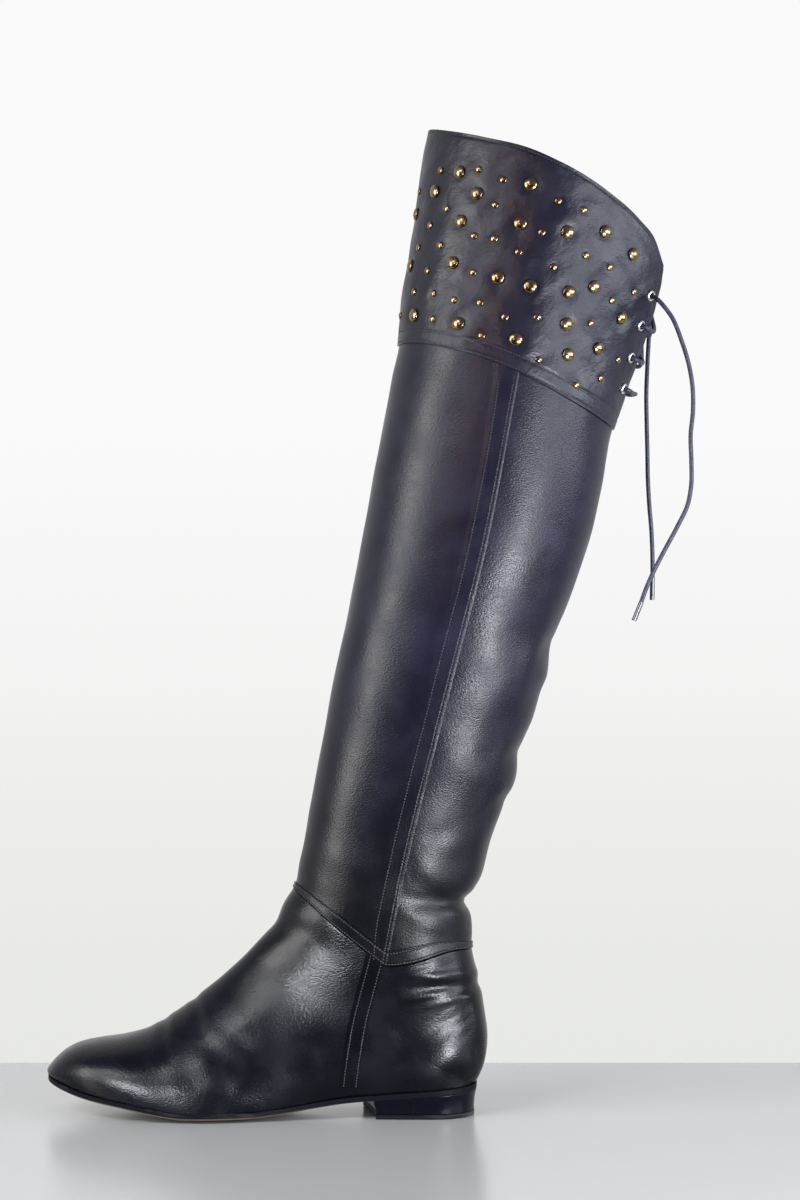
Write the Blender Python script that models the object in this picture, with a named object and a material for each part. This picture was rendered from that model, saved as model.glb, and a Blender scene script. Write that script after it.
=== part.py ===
"""Over-the-knee boot for a left foot, empty and standing on its sole.

The toe points to -X, the outer side of the leg to -Y, and +Z is up. The origin is the middle of
the heel's floor face. Tables and sizes are in millimetres, and meshes are made in metres.
"""

import math

import bmesh
import bpy
import numpy as np
from mathutils import Matrix, Vector

for old in list(bpy.data.objects):
    bpy.data.objects.remove(old, do_unlink=True)

MM = 0.001

# Clearances and thicknesses
GAP = 0.3
FEATHER_GAP = 0.4
SOLE_THICK = 3.0
INSOLE_THICK = 2.4
TOP_LIFT_THICK = 2.5
WALL = 2.0
LAP = 0.8
CUFF_LAP = 1.2

# Sole, along the foot: the tip, the tread that meets the floor, the waist and the heel seat
SOLE_TIP = -219.8
SOLE_BACK = 32.0
TREAD_FRONT = -138.0
TREAD_BACK = -104.0
SEAT_FRONT = -38.0
SEAT_HEIGHT = 12.9
SEAT_SLOPE = 0.075
TOE_SPRING = 18.4
TOE_SPRING_POWER = 1.35
EDGE_LIFT = 2.2
EDGE_LIFT_END = -205.0
EDGE_LIFT_FULL = -165.0
FLAT_SHARE = 0.55

# Sole, seen from above
TOE_ROUND_START = -150.0
TOE_ROUND = 2.4
HEEL_ROUND_START = 4.0
HEEL_ROUND = 2.3
UPPER_INSET = 1.0
INSOLE_INSET = 4.2
SOLE_PLAN = [
    # x, middle line y, half width
    (-222.0, 7.6, 40.5),
    (-175.0, 4.0, 41.5),
    (-148.0, 0.6, 41.5),
    (-124.0, -2.4, 40.0),
    (-100.0, -4.0, 34.0),
    (-75.0, -3.8, 28.0),
    (-40.0, -1.2, 26.8),
    (0.0, 0.0, 28.5),
    (40.0, 0.0, 28.5),
]

# Heel block
BREAST_OUTER = -28.5
BREAST_INNER = -36.5
BREAST_HOLLOW = 2.0
HEEL_TAPER = 1.6

# Sections of the foot that stand on the sole, toe first. Each lies in a plane across the boot, from
# the ridge of the vamp down to the sole, and the planes fan out from the toe to the heel.
# A half width of 0 follows the sole. "widest" is how far down the section that lies, from 0 at the
# ridge to 1 at the sole. A roundness of 2 is an ellipse, and more is fuller.
FOOT_SECTIONS = [
    # front x, front z, base x, half width, widest, front round, back round, ridge y
    (-218.8, 21.8, -218.8, 0.0, 0.82, 2.2, 2.0, 7.4),
    (-220.3, 24.4, -216.3, 0.0, 0.82, 2.2, 2.0, 7.3),
    (-218.4, 27.2, -213.0, 0.0, 0.82, 2.2, 2.0, 7.2),
    (-214.4, 31.6, -208.0, 0.0, 0.82, 2.25, 2.0, 7.0),
    (-208.4, 36.5, -200.5, 0.0, 0.82, 2.3, 2.0, 6.6),
    (-200.0, 40.3, -190.0, 0.0, 0.82, 2.3, 2.0, 6.0),
    (-188.0, 42.9, -175.0, 0.0, 0.82, 2.25, 2.0, 5.4),
    (-174.0, 45.2, -156.0, 0.0, 0.82, 2.2, 2.0, 4.8),
    (-160.0, 49.2, -134.0, 0.0, 0.80, 2.1, 2.0, 4.2),
    (-147.0, 57.0, -110.0, 39.0, 0.72, 2.0, 2.0, 3.8),
    (-136.0, 64.5, -84.0, 35.4, 0.62, 2.0, 2.0, 3.4),
    (-126.5, 72.1, -56.0, 33.6, 0.54, 2.0, 2.1, 3.0),
    (-118.0, 78.9, -28.0, 33.0, 0.52, 2.0, 2.6, 2.7),
    (-111.0, 85.2, 0.0, 33.0, 0.51, 2.0, 2.9, 2.4),
    (-106.3, 89.5, 18.0, 33.2, 0.50, 2.0, 3.05, 2.2),
    (-103.5, 92.3, 27.2, 33.4, 0.50, 2.0, 2.95, 2.0),
]

# Sections that go right round the heel, the leg and the cuff, lowest first, with the ankle seam, the
# fold behind the ankle and the cuff seam each on a row of their own.
LEG_SECTIONS = [
    # front x, front z, back x, back z, half width, widest, front round, back round, ridge y
    (-101.2, 94.7, 31.0, 18.5, 33.5, 0.50, 2.0, 2.85, 1.8),
    (-97.2, 98.9, 36.3, 29.2, 33.8, 0.49, 2.0, 2.75, 1.5),
    (-92.3, 104.1, 38.2, 44.0, 34.4, 0.49, 2.0, 2.55, 1.2),
    (-86.8, 111.3, 36.8, 58.8, 35.2, 0.50, 2.0, 2.4, 0.9),
    (-82.0, 120.5, 33.6, 77.0, 36.2, 0.51, 2.0, 2.2, 0.5),
    (-75.7, 131.8, 29.2, 96.0, 37.2, 0.52, 2.0, 2.0, 0.2),
    (-73.0, 139.5, 29.2, 105.0, 37.8, 0.52, 2.0, 2.0, 0.0),
    (-71.2, 148.5, 28.4, 115.0, 38.2, 0.52, 2.0, 2.0, 0.0),
    (-69.4, 157.5, 25.2, 123.8, 38.6, 0.52, 2.0, 2.0, 0.0),
    (-67.7, 167.5, 31.0, 132.0, 39.0, 0.52, 2.0, 2.0, 0.0),
    (-66.2, 177.0, 35.6, 141.0, 39.5, 0.52, 2.0, 2.0, 0.0),
    (-62.5, 197.0, 40.4, 160.5, 40.6, 0.52, 2.0, 2.0, 0.0),
    (-58.4, 218.0, 47.4, 179.3, 42.0, 0.52, 2.0, 2.0, 0.0),
    (-55.2, 235.0, 54.6, 195.0, 43.3, 0.52, 2.0, 2.0, 0.0),
    (-51.8, 254.0, 57.0, 213.5, 44.6, 0.52, 2.0, 2.0, 0.0),
    (-47.5, 274.0, 65.8, 232.0, 46.1, 0.52, 2.0, 2.0, 0.0),
    (-43.0, 295.6, 72.6, 253.0, 47.6, 0.52, 2.0, 2.0, 0.0),
    (-38.5, 318.0, 76.6, 275.0, 49.1, 0.52, 2.0, 2.0, 0.0),
    (-33.3, 346.0, 87.4, 303.0, 50.8, 0.52, 2.0, 2.0, 0.0),
    (-28.0, 376.0, 97.4, 333.5, 52.4, 0.52, 2.0, 2.0, 0.0),
    (-21.2, 411.0, 105.0, 364.5, 53.8, 0.52, 2.0, 2.0, 0.0),
    (-17.6, 430.5, 108.0, 383.0, 54.6, 0.52, 2.0, 1.95, 0.0),
    (-13.6, 449.0, 111.4, 400.0, 55.3, 0.52, 2.0, 1.85, 0.0),
    (-11.2, 475.8, 120.4, 426.6, 56.4, 0.52, 2.0, 1.6, 0.0),
    (-4.8, 513.3, 130.6, 456.8, 57.8, 0.52, 2.0, 1.5, 0.0),
    (0.4, 551.0, 138.2, 485.0, 59.0, 0.53, 2.0, 1.5, 0.0),
    (4.6, 574.0, 139.6, 502.0, 59.6, 0.53, 2.0, 1.5, 0.0),
    (9.4, 598.0, 140.6, 521.0, 60.0, 0.53, 2.0, 1.5, 0.0),
]

# Rows of the two tables, counted together, where the pieces end
HEEL_END = float(len(FOOT_SECTIONS))
ANKLE_SEAM = HEEL_END + 5.0
CUFF_SEAM = HEEL_END + 22.0
RIM = HEEL_END + 26.0
SLIT_FOOT = CUFF_SEAM + 0.45

LAST_ROW = HEEL_END + len(LEG_SECTIONS) - 1.0
CUFF_ROWS = (CUFF_SEAM, LAST_ROW - 0.1)
QUARTER_ROWS = (11.5, ANKLE_SEAM)

# The upper is drawn in to this share of its width at the sole. It follows the sole's own outline up
# to the first of these rows, and leaves it by the second.
FEATHER_TUCK = 0.985
FOLLOWS_SOLE = (6.0, 9.0)
TOE_TIP_OUTWARD = (-0.92, 0.0, -0.39)

# Shape of the seams, in rows of the tables, and of the slit
ANKLE_DIP = 1.6
ANKLE_FADE = 3.5
CUFF_SEAM_RISE = 0.3
CUFF_SEAM_LEAN = 0.75
SLIT_HALF = 17.0
RIM_LINE = [
    # turn, rows above the rim's own row: highest at the sides, rounded off at the slit
    (0.0, 0.0),
    (0.2, 0.07),
    (0.35, 0.26),
    (0.5, 0.53),
    (0.62, 0.6),
    (0.76, 0.59),
    (0.88, 0.41),
    (0.95, 0.12),
    (1.0, -0.5),
]
SEAM_LINE = [
    # rows above the ankle seam, turn of the seam's back edge
    (0.0, 0.51),
    (3.5, 0.548),
    (9.0, 0.548),
    (17.0, 0.525),
]
STRIP_WIDTH = 0.045
STEP_WIDTH = 0.005
BAND_ROWS = 0.75
BAND_FRONT_SHARE = 0.4
STEP_ROWS = 0.09
BUTT_ROWS = 0.035
BUTT_CUFF_ROWS = 0.014

# Back edge of the side seam on the foot, seen from the side, from the ankle seam to the sole
FOOT_SEAM_WIDTH = 7.0
FOOT_SEAM_GAP = 0.45
FOOT_SEAM = [
    # x, z
    (-23.4, 86.0),
    (-25.6, 78.0),
    (-27.8, 69.5),
    (-30.0, 61.0),
    (-31.9, 52.0),
    (-33.4, 43.0),
    (-34.8, 34.0),
    (-35.9, 26.0),
    (-36.8, 18.5),
]

# Eyelets and lace
EYELET_HOLE = 1.9
EYELET_BARREL = 2.3
EYELET_FLANGE = 3.2
EYELET_RISE = 0.7
EYELET_ROLL = 0.3
EYELET_SEAT = 0.55
EYELET_BORE = 2.75
BORE_DEPTH = 14.0
EYELET_SIDES = 10
LACE_DIAMETER = 2.6
EDGE_RUN = 9.5
INNER_RUN = 6.5
INNER_DROP = 1.6
INNER_TAIL = 2.5
LACE_SLACK = 2.0
CROSS_SPACING = 2.0
EYELETS = [
    # x, z, seen from the side, top one first
    (131.0, 476.6),
    (125.6, 459.3),
    (119.8, 441.0),
    (116.0, 423.3),
]
LACE_END_OUTER = [
    # x, y, z
    (135.6, -28.2, 473.4),
    (143.5, -29.5, 463.4),
    (149.4, -28.6, 449.5),
    (153.6, -27.4, 436.3),
    (156.0, -26.6, 422.0),
    (156.2, -26.0, 409.0),
    (154.9, -26.0, 395.3),
    (155.3, -26.0, 380.0),
    (155.2, -26.0, 366.5),
    (153.0, -26.0, 354.6),
    (147.5, -26.0, 343.0),
    (139.6, -26.0, 328.3),
    (133.1, -26.0, 315.6),
    (128.7, -26.0, 305.4),
    (126.2, -26.0, 298.3),
]
AGLET_OUTER_TIP = (122.1, -26.0, 288.0)
LACE_END_INNER = [
    # x, y, z
    (134.4, 27.0, 475.2),
    (136.4, 29.0, 471.2),
    (136.6, 29.0, 465.5),
    (135.4, 28.2, 458.0),
    (134.6, 27.0, 448.0),
    (134.0, 26.0, 437.0),
    (133.4, 25.0, 422.8),
    (133.6, 25.0, 406.2),
    (134.0, 25.0, 389.6),
    (134.3, 25.0, 372.4),
    (135.2, 25.0, 355.8),
    (136.4, 25.0, 341.5),
    (137.0, 25.0, 327.9),
    (137.1, 25.0, 312.5),
]
AGLET_INNER_TIP = (136.8, 25.0, 300.0)
AGLET_DIAMETER = 2.9

# Large studs, seen from the side. The last column says whether the inner side of the leg has one too.
STUD_RADIUS = 3.7
STUD_HEIGHT = 2.3
STUD_SHOULDER = (0.72, 0.78)
STUD_SIDES = 8
STUDS = [
    # x, z, both sides
    (21.7, 544.9, True),
    (7.7, 535.6, True),
    (31.3, 531.7, False),
    (61.2, 535.7, True),
    (-2.6, 525.3, False),
    (22.0, 516.5, False),
    (55.5, 513.6, True),
    (81.7, 508.7, False),
    (103.9, 510.0, True),
    (120.2, 498.6, True),
    (-6.0, 494.3, False),
    (17.8, 492.7, False),
    (42.8, 483.1, True),
    (60.9, 477.9, False),
    (82.8, 475.2, True),
    (97.5, 478.8, False),
    (-4.3, 464.4, False),
    (20.6, 457.7, True),
    (52.8, 448.0, True),
    (81.4, 457.1, False),
    (114.0, 462.4, True),
    (100.2, 444.5, True),
    (82.3, 440.0, False),
]


def smooth_curve(keys, values):
    """Smooth curve through rows of values at rising keys, as a function of the key."""
    keys = np.asarray(keys, float)
    values = np.asarray(values, float)
    slopes = np.gradient(values, keys, axis=0)

    def at(key):
        key = np.clip(np.asarray(key, float), keys[0], keys[-1])
        left = np.clip(np.searchsorted(keys, key, side="right") - 1, 0, len(keys) - 2)
        span = keys[left + 1] - keys[left]
        t = ((key - keys[left]) / span)[..., None]
        span = span[..., None]
        start = (1 + 2 * t) * (1 - t) ** 2 * values[left] + t * (1 - t) ** 2 * span * slopes[left]
        stop = t * t * (3 - 2 * t) * values[left + 1] + t * t * (t - 1) * span * slopes[left + 1]
        return start + stop

    return at


def ease(low, high, value):
    """Rises smoothly from 0 at low to 1 at high."""
    t = np.clip((np.asarray(value, float) - low) / (high - low), 0.0, 1.0)
    return t * t * (3 - 2 * t)


plan_rows = smooth_curve([row[0] for row in SOLE_PLAN], [row[1:] for row in SOLE_PLAN])


def sole_plan(x, inset=0.0):
    """Middle line and half width of the sole at x, drawn in by inset all round."""
    x = np.asarray(x, float)
    rows = plan_rows(x)
    toe = np.clip((TOE_ROUND_START - x) / (TOE_ROUND_START - SOLE_TIP - inset), 0.0, 1.0)
    heel = np.clip((x - HEEL_ROUND_START) / (SOLE_BACK - inset - HEEL_ROUND_START), 0.0, 1.0)
    round_toe = (1 - toe ** TOE_ROUND) ** 0.5
    round_heel = (1 - heel ** HEEL_ROUND) ** (1 / HEEL_ROUND)
    return rows[..., 0], (rows[..., 1] - inset) * round_toe * round_heel


def tread_height(x, across=0.0):
    """Height of the sole's underside: toe spring, tread, waist and heel seat, edges lifted."""
    x = np.asarray(x, float)
    toe = np.clip((TREAD_FRONT - x) / (TREAD_FRONT - SOLE_TIP), 0.0, None)
    t = np.clip((x - TREAD_BACK) / (SEAT_FRONT - TREAD_BACK), 0.0, 1.0)
    run = SEAT_FRONT - TREAD_BACK
    seat_start = SEAT_HEIGHT + SEAT_SLOPE * SEAT_FRONT
    waist = t * t * (3 - 2 * t) * seat_start + t * t * (t - 1) * run * SEAT_SLOPE
    seat = SEAT_HEIGHT + SEAT_SLOPE * x
    middle = np.where(x > SEAT_FRONT, seat, np.where(x < TREAD_FRONT, 0.0, waist))
    edge = np.clip((np.abs(across) - FLAT_SHARE) / (1 - FLAT_SHARE), 0.0, 1.0) ** 2
    lift = EDGE_LIFT * (1 - ease(TREAD_BACK, SEAT_FRONT, x)) * ease(EDGE_LIFT_END, EDGE_LIFT_FULL, x)
    return middle + TOE_SPRING * toe ** TOE_SPRING_POWER + lift * edge


def feather_height(x):
    """Height of the lower edge of the upper, just above the sole."""
    half = sole_plan(x)[1]
    share = sole_plan(x, UPPER_INSET)[1] / np.maximum(half, 1e-6)
    return tread_height(x, share) + SOLE_THICK + FEATHER_GAP


def section_rows():
    """The two tables as one, with what the foot's rows take from the sole filled in."""
    rows = []
    for front_x, front_z, base_x, half, widest, front, back, ridge in FOOT_SECTIONS:
        if half == 0.0:
            half = float(sole_plan(base_x, UPPER_INSET)[1]) / FEATHER_TUCK
        base_z = float(feather_height(base_x))
        rows.append((front_x, front_z, base_x, base_z, half, widest, front, back, ridge))
    return rows + LEG_SECTIONS


sections = smooth_curve(range(len(FOOT_SECTIONS) + len(LEG_SECTIONS)), section_rows())


def slit_half(row):
    """Half the opening of the slit at the back of the cuff."""
    return SLIT_HALF * np.clip((row - SLIT_FOOT) / (RIM - SLIT_FOOT), 0.0, None) ** 0.5


def skin(row, turn):
    """Point of the boot's outside. Row is counted in the tables. Turn is 0 at the front of the
    section, -1 at its back or lower edge on the outer side, and 1 on the inner side."""
    row, turn = np.broadcast_arrays(np.asarray(row, float), np.asarray(turn, float))
    columns = np.moveaxis(sections(row), -1, 0)
    front_x, front_z, back_x, back_z, half, widest, front_n, back_n, ridge = columns
    on_sole = row < HEEL_END
    base_axis, base_half = sole_plan(back_x, UPPER_INSET)
    half = half + (base_half / FEATHER_TUCK - half) * (1 - ease(*FOLLOWS_SOLE, row))
    half = np.maximum(half, 1e-6)
    back_z = np.where(on_sole, feather_height(back_x), back_z)
    base_axis = np.where(on_sole, base_axis, 0.0)
    opening = np.where(on_sole, base_half, slit_half(row))
    tuck = np.clip(opening / half, 0.0, FEATHER_TUCK)
    last = np.pi - np.arcsin(tuck ** (back_n / 2))
    angle = np.abs(turn) * last
    front_part = angle <= np.pi / 2
    power = 2 / np.where(front_part, front_n, back_n)
    out = np.maximum(np.sin(angle), 0.0) ** power
    slope = np.abs(np.cos(angle)) ** power
    full = np.abs(np.cos(last)) ** (2 / back_n)
    share = np.where(front_part, widest * (1 - slope), widest + (1 - widest) * slope / full)
    middle = ridge + (base_axis - ridge) * share
    x = front_x + (back_x - front_x) * share
    z = front_z + (back_z - front_z) * share
    return np.stack([x, middle + np.sign(turn) * half * out, z], axis=-1)


def skin_normal(row, turn):
    """Outward direction of the boot's outside."""
    row, turn = np.broadcast_arrays(np.asarray(row, float), np.asarray(turn, float))
    step = 1e-3
    above = np.where(np.abs(row - SLIT_FOOT) < step, row, np.minimum(row + step, LAST_ROW))
    below = np.where(np.abs(row - HEEL_END) < step, row, np.maximum(row - step, 0.02))
    up = skin(above, turn) - skin(below, turn)
    around = skin(row, np.minimum(turn + step, 1.0)) - skin(row, np.maximum(turn - step, -1.0))
    normal = np.cross(up, around)
    length = np.linalg.norm(normal, axis=-1, keepdims=True)
    return normal / np.maximum(length, 1e-12)


def back_share(turn):
    """How far back a turn lies on a closed section, from 0 at the front to 1 at the back."""
    return (1 - np.cos(np.pi * np.abs(turn))) / 2


def ankle_dip(turn):
    """How far the ankle seam dips at the sides: a V with straight legs."""
    share = back_share(turn)
    foot = back_share(SEAM_LINE[0][1])
    return ANKLE_DIP * np.minimum(share / foot, (1 - share) / (1 - foot))


def band_share(turn):
    """Height of the ankle band as a share of its full height, less towards the front."""
    to_side = np.minimum(back_share(turn) / back_share(SEAM_LINE[0][1]), 1.0)
    return BAND_FRONT_SHARE + (1 - BAND_FRONT_SHARE) * to_side


def cuff_seam(turn):
    """Row of the cuff's lower edge, raised at the sides."""
    return CUFF_SEAM + CUFF_SEAM_RISE * np.sin(np.pi * back_share(turn) ** CUFF_SEAM_LEAN)


rim_line = smooth_curve([turn for turn, rise in RIM_LINE], [[rise] for turn, rise in RIM_LINE])


def rim(turn):
    """Row of the cuff's rim."""
    return RIM + rim_line(np.abs(turn))[..., 0]


def surface(name, colour, roughness, metallic=0.0):
    """Plain surface of one sub-part."""
    material = bpy.data.materials.new(name)
    material.use_nodes = True
    shader = material.node_tree.nodes["Principled BSDF"]
    shader.inputs["Base Color"].default_value = (*colour, 1.0)
    shader.inputs["Roughness"].default_value = roughness
    shader.inputs["Metallic"].default_value = metallic
    return material


LEATHER = surface("upper_leather", (0.014, 0.015, 0.022), 0.42)
CUFF_LEATHER = surface("cuff_leather", (0.018, 0.018, 0.024), 0.36)
SOLE_RUBBER = surface("sole_rubber", (0.03, 0.03, 0.032), 0.55)
HEEL_BLOCK = surface("heel_block", (0.008, 0.008, 0.011), 0.25)
INSOLE_BOARD = surface("insole_lining", (0.11, 0.09, 0.07), 0.8)
NICKEL = surface("eyelet_nickel", (0.66, 0.65, 0.62), 0.25, 1.0)
BRASS = surface("stud_brass", (0.42, 0.31, 0.13), 0.32, 1.0)
LACE_CORD = surface("lace_cord", (0.02, 0.018, 0.04), 0.6)


def add_object(name, mesh, material, smooth_angle=40.0):
    """Puts a mesh into the scene as one sub-part."""
    mesh.materials.append(material)
    mesh.shade_smooth()
    mesh.set_sharp_from_angle(angle=math.radians(smooth_angle))
    item = bpy.data.objects.new(name, mesh)
    bpy.context.collection.objects.link(item)
    return item


def mesh_of(form, name):
    """Closes a bmesh and hands it over as a mesh, facing out."""
    bmesh.ops.recalc_face_normals(form, faces=form.faces[:])
    mesh = bpy.data.meshes.new(name)
    form.to_mesh(mesh)
    form.free()
    return mesh


def shell(name, rows, turns, raised, material, lap=0.0, tip=False):
    """One hollow leather wall on the boot's skin, from a grid of rows and turns. The two ends of a
    row are joined where they meet at the back, and a tip closes the first row to a point. The wall
    lies further out by its lap, and is thicker where it is raised."""
    place = skin(rows, turns)
    normal = skin_normal(rows, turns)
    joined = np.linalg.norm(place[:, 0] - place[:, -1], axis=-1) < 0.02
    back = normal[:, 0] + normal[:, -1]
    back[:, 1] = 0.0
    back /= np.linalg.norm(back, axis=-1, keepdims=True)
    for r in np.flatnonzero(joined):
        normal[r, 0] = normal[r, -1] = back[r]
    if tip:
        normal[0] = TOE_TIP_OUTWARD
    outside = (place + normal * (lap + raised[..., None])) * MM
    inside = (place + normal * (lap - WALL)) * MM
    form = bmesh.new()
    count, width = rows.shape
    grids = []
    for surface in (outside, inside):
        grid = [[None] * width for _ in range(count)]
        for r in range(count):
            for c in range(width):
                if tip and r == 0 and c > 0:
                    grid[r][c] = grid[0][0]
                elif c == width - 1 and joined[r]:
                    grid[r][c] = grid[r][0]
                else:
                    grid[r][c] = form.verts.new(surface[r, c])
        grids.append(grid)
    inner_of = {}
    for r in range(count):
        for c in range(width):
            inner_of[grids[0][r][c]] = grids[1][r][c]
    for grid, flip in ((grids[0], False), (grids[1], True)):
        for r in range(count - 1):
            for c in range(width - 1):
                corners = [grid[r][c], grid[r][c + 1], grid[r + 1][c + 1], grid[r + 1][c]]
                corners = list(dict.fromkeys(corners))
                form.faces.new(corners[::-1] if flip else corners)
    outer = set(inner_of)
    for edge in [e for e in form.edges if e.is_boundary and e.verts[0] in outer]:
        a, b = edge.verts
        form.faces.new((a, b, inner_of[b], inner_of[a]))
    return add_object(name, mesh_of(form, name), material)


def both_sides(turns):
    """Turns of one side, given from the front, as a full round from back to back."""
    turns = np.asarray(turns, float)
    return np.concatenate([-turns[::-1], turns[1:]])


# Sole and insole


def sheet(name, stations, shares, inset, lift, thick, material):
    """Layer of the sole that follows the tread: a grid of stations by shares across, extruded down."""
    form = bmesh.new()
    grid = []
    for x in stations:
        axis, half = (float(v) for v in sole_plan(x, inset))
        full = max(float(sole_plan(x)[1]), 1e-6)
        line = []
        for share in shares:
            z = float(tread_height(x, share * half / full)) + lift + thick
            line.append(form.verts.new(Vector((x, axis + share * half, z)) * MM))
        grid.append(line)
    for front, rear in zip(grid, grid[1:]):
        for c in range(len(shares) - 1):
            form.faces.new((front[c], front[c + 1], rear[c + 1], rear[c]))
    bmesh.ops.remove_doubles(form, verts=form.verts[:], dist=0.01 * MM)
    lower = bmesh.ops.extrude_face_region(form, geom=form.faces[:])
    moved = [item for item in lower["geom"] if isinstance(item, bmesh.types.BMVert)]
    bmesh.ops.translate(form, verts=moved, vec=(0.0, 0.0, -thick * MM))
    return add_object(name, mesh_of(form, name), material)


def stations_between(tip, back):
    """Stations along the sole, closer together at the two round ends."""
    toe = tip + (TREAD_FRONT - tip) * (np.linspace(0.0, 1.0, 10) ** 2)
    waist = np.linspace(TREAD_BACK, SEAT_FRONT, 10)
    heel_in = np.linspace(1.0, 0.0, 8) ** 2
    heel = back - (back - HEEL_ROUND_START) * heel_in
    return [*toe, (TREAD_FRONT + TREAD_BACK) / 2, *waist, (SEAT_FRONT + HEEL_ROUND_START) / 2, *heel]


sole_stations = stations_between(SOLE_TIP, SOLE_BACK)
sole_shares = [-1.0, -0.8, -FLAT_SHARE, 0.0, FLAT_SHARE, 0.8, 1.0]
sheet("outsole", sole_stations, sole_shares, 0.0, 0.0, SOLE_THICK, SOLE_RUBBER)
insole_stations = stations_between(SOLE_TIP + INSOLE_INSET, SOLE_BACK - INSOLE_INSET)
insole_shares = [-1.0, -0.6, 0.6, 1.0]
insole_lift = SOLE_THICK + GAP
sheet("insole", insole_stations, insole_shares, INSOLE_INSET, insole_lift, INSOLE_THICK, INSOLE_BOARD)


def heel_outline(inset):
    """Outline of the heel seen from above: the two sides, the round back and the slanted breast."""
    back = SOLE_BACK - inset
    stations = back - (back - HEEL_ROUND_START) * np.linspace(1.0, 0.0, 9) ** 2
    outer = [*np.linspace(BREAST_OUTER + inset, HEEL_ROUND_START, 3)[:-1], *stations]
    inner = [*stations[-2::-1], *np.linspace(HEEL_ROUND_START, BREAST_INNER + inset, 4)[1:]]
    points = [Vector((x, float(sole_plan(x, inset)[0] - sole_plan(x, inset)[1]))) for x in outer]
    points += [Vector((x, float(sole_plan(x, inset)[0] + sole_plan(x, inset)[1]))) for x in inner]
    first, last = points[0], points[-1]
    for share in (0.75, 0.5, 0.25):
        hollow = BREAST_HOLLOW * 4 * share * (1 - share)
        points.append(first.lerp(last, share) + Vector((hollow, 0.0)))
    return points


def heel_solid(name, lower, upper, low_inset, high_inset, material):
    """Block between two heights, each a function of x, drawn in by its inset at each end."""
    form = bmesh.new()
    rings = []
    for height, inset in ((lower, low_inset), (upper, high_inset)):
        ring = [form.verts.new(Vector((p.x, p.y, height(p.x))) * MM) for p in heel_outline(inset)]
        rings.append(ring)
        form.faces.new(ring)
    for i in range(len(rings[0])):
        j = (i + 1) % len(rings[0])
        form.faces.new((rings[0][i], rings[0][j], rings[1][j], rings[1][i]))
    return add_object(name, mesh_of(form, name), material, 30.0)


def heel_seat(x):
    """Height of the heel block's top, just under the sole."""
    return float(tread_height(x)) - GAP


heel_solid("heel", lambda x: TOP_LIFT_THICK + GAP, heel_seat, HEEL_TAPER, 0.0, HEEL_BLOCK)
heel_solid("top_lift", lambda x: 0.0, lambda x: TOP_LIFT_THICK, HEEL_TAPER, HEEL_TAPER, SOLE_RUBBER)

# Upper: vamp and quarters, from the sole to the ankle seam

toe_rows = [0.0, 0.3, 0.7, 1.2, 1.8, 2.5, 3.2, 4.0, 4.9, 5.9, 6.9, 7.9, 8.9, 9.9, 10.8,
            11.5, 12.1, 12.7, 13.4, 14.2, 14.9, 15.4, 15.8]
upper_turns = both_sides([0.0, 0.08, 0.16, 0.25, 0.34, 0.42, SEAM_LINE[0][1],
                          0.58, 0.66, 0.74, 0.82, 0.88, 0.94, 1.0])
seam_rows = ANKLE_SEAM - ankle_dip(upper_turns)
heel_shares = [0.0, 0.14, 0.32, 0.52, 0.74, 1.0]
above_sole = [HEEL_END + (seam_rows - HEEL_END) * share for share in heel_shares]
upper_rows = np.array([np.full_like(upper_turns, row) for row in toe_rows] + above_sole)
upper_grid = np.broadcast_to(upper_turns, upper_rows.shape)
shell("upper", upper_rows, upper_grid, np.zeros(upper_rows.shape), LEATHER, tip=True)

# Shaft: leg tube, with the ankle band and the lapped side seam as steps in its wall

shaft_heights = [0.0, BAND_ROWS, BAND_ROWS + STEP_ROWS, 1.6, 2.3, 3.0, 3.7, 5.0, 6.0, 7.0, 8.0,
                 9.0, 10.0, 11.0, 12.4, 14.2, 16.0, CUFF_SEAM - ANKLE_SEAM]
strip = [-STRIP_WIDTH - STEP_WIDTH, -STRIP_WIDTH, 0.0, STEP_WIDTH]
seam_line = smooth_curve([rise for rise, turn in SEAM_LINE], [[turn] for rise, turn in SEAM_LINE])


def seam_turn(height):
    """Turn of the back edge of the side seam, so many rows above the ankle seam."""
    return float(seam_line(height)[0])


def shaft_turns(height):
    """Turns of one row of the shaft, with the seam strip's edges among them."""
    edge = seam_turn(height)
    before = np.linspace(0.0, edge + strip[0], 7)[:-1]
    after = np.linspace(edge + strip[-1], 1.0, 7)[1:]
    return both_sides([*before, *(edge + offset for offset in strip), *after])


shaft_grid = np.array([shaft_turns(height) for height in shaft_heights])
shaft_rows = []
raised = []
for height, turns in zip(shaft_heights, shaft_grid):
    dip = ankle_dip(turns) * max(0.0, 1 - height / ANKLE_FADE)
    on_band = height <= BAND_ROWS
    rise = height * band_share(turns) if height <= BAND_ROWS + STEP_ROWS else height
    shaft_rows.append(ANKLE_SEAM + BUTT_ROWS + rise - dip)
    from_edge = np.abs(turns) - seam_turn(height)
    on_strip = (from_edge > -STRIP_WIDTH - STEP_WIDTH / 2) & (from_edge < STEP_WIDTH / 2)
    raised.append(LAP * (on_strip | on_band))
shaft_rows[-1] = cuff_seam(shaft_grid[-1]) - BUTT_CUFF_ROWS
shell("shaft", np.array(shaft_rows), shaft_grid, np.array(raised), LEATHER)

# Cuff: flared band with the slit at its back

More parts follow.
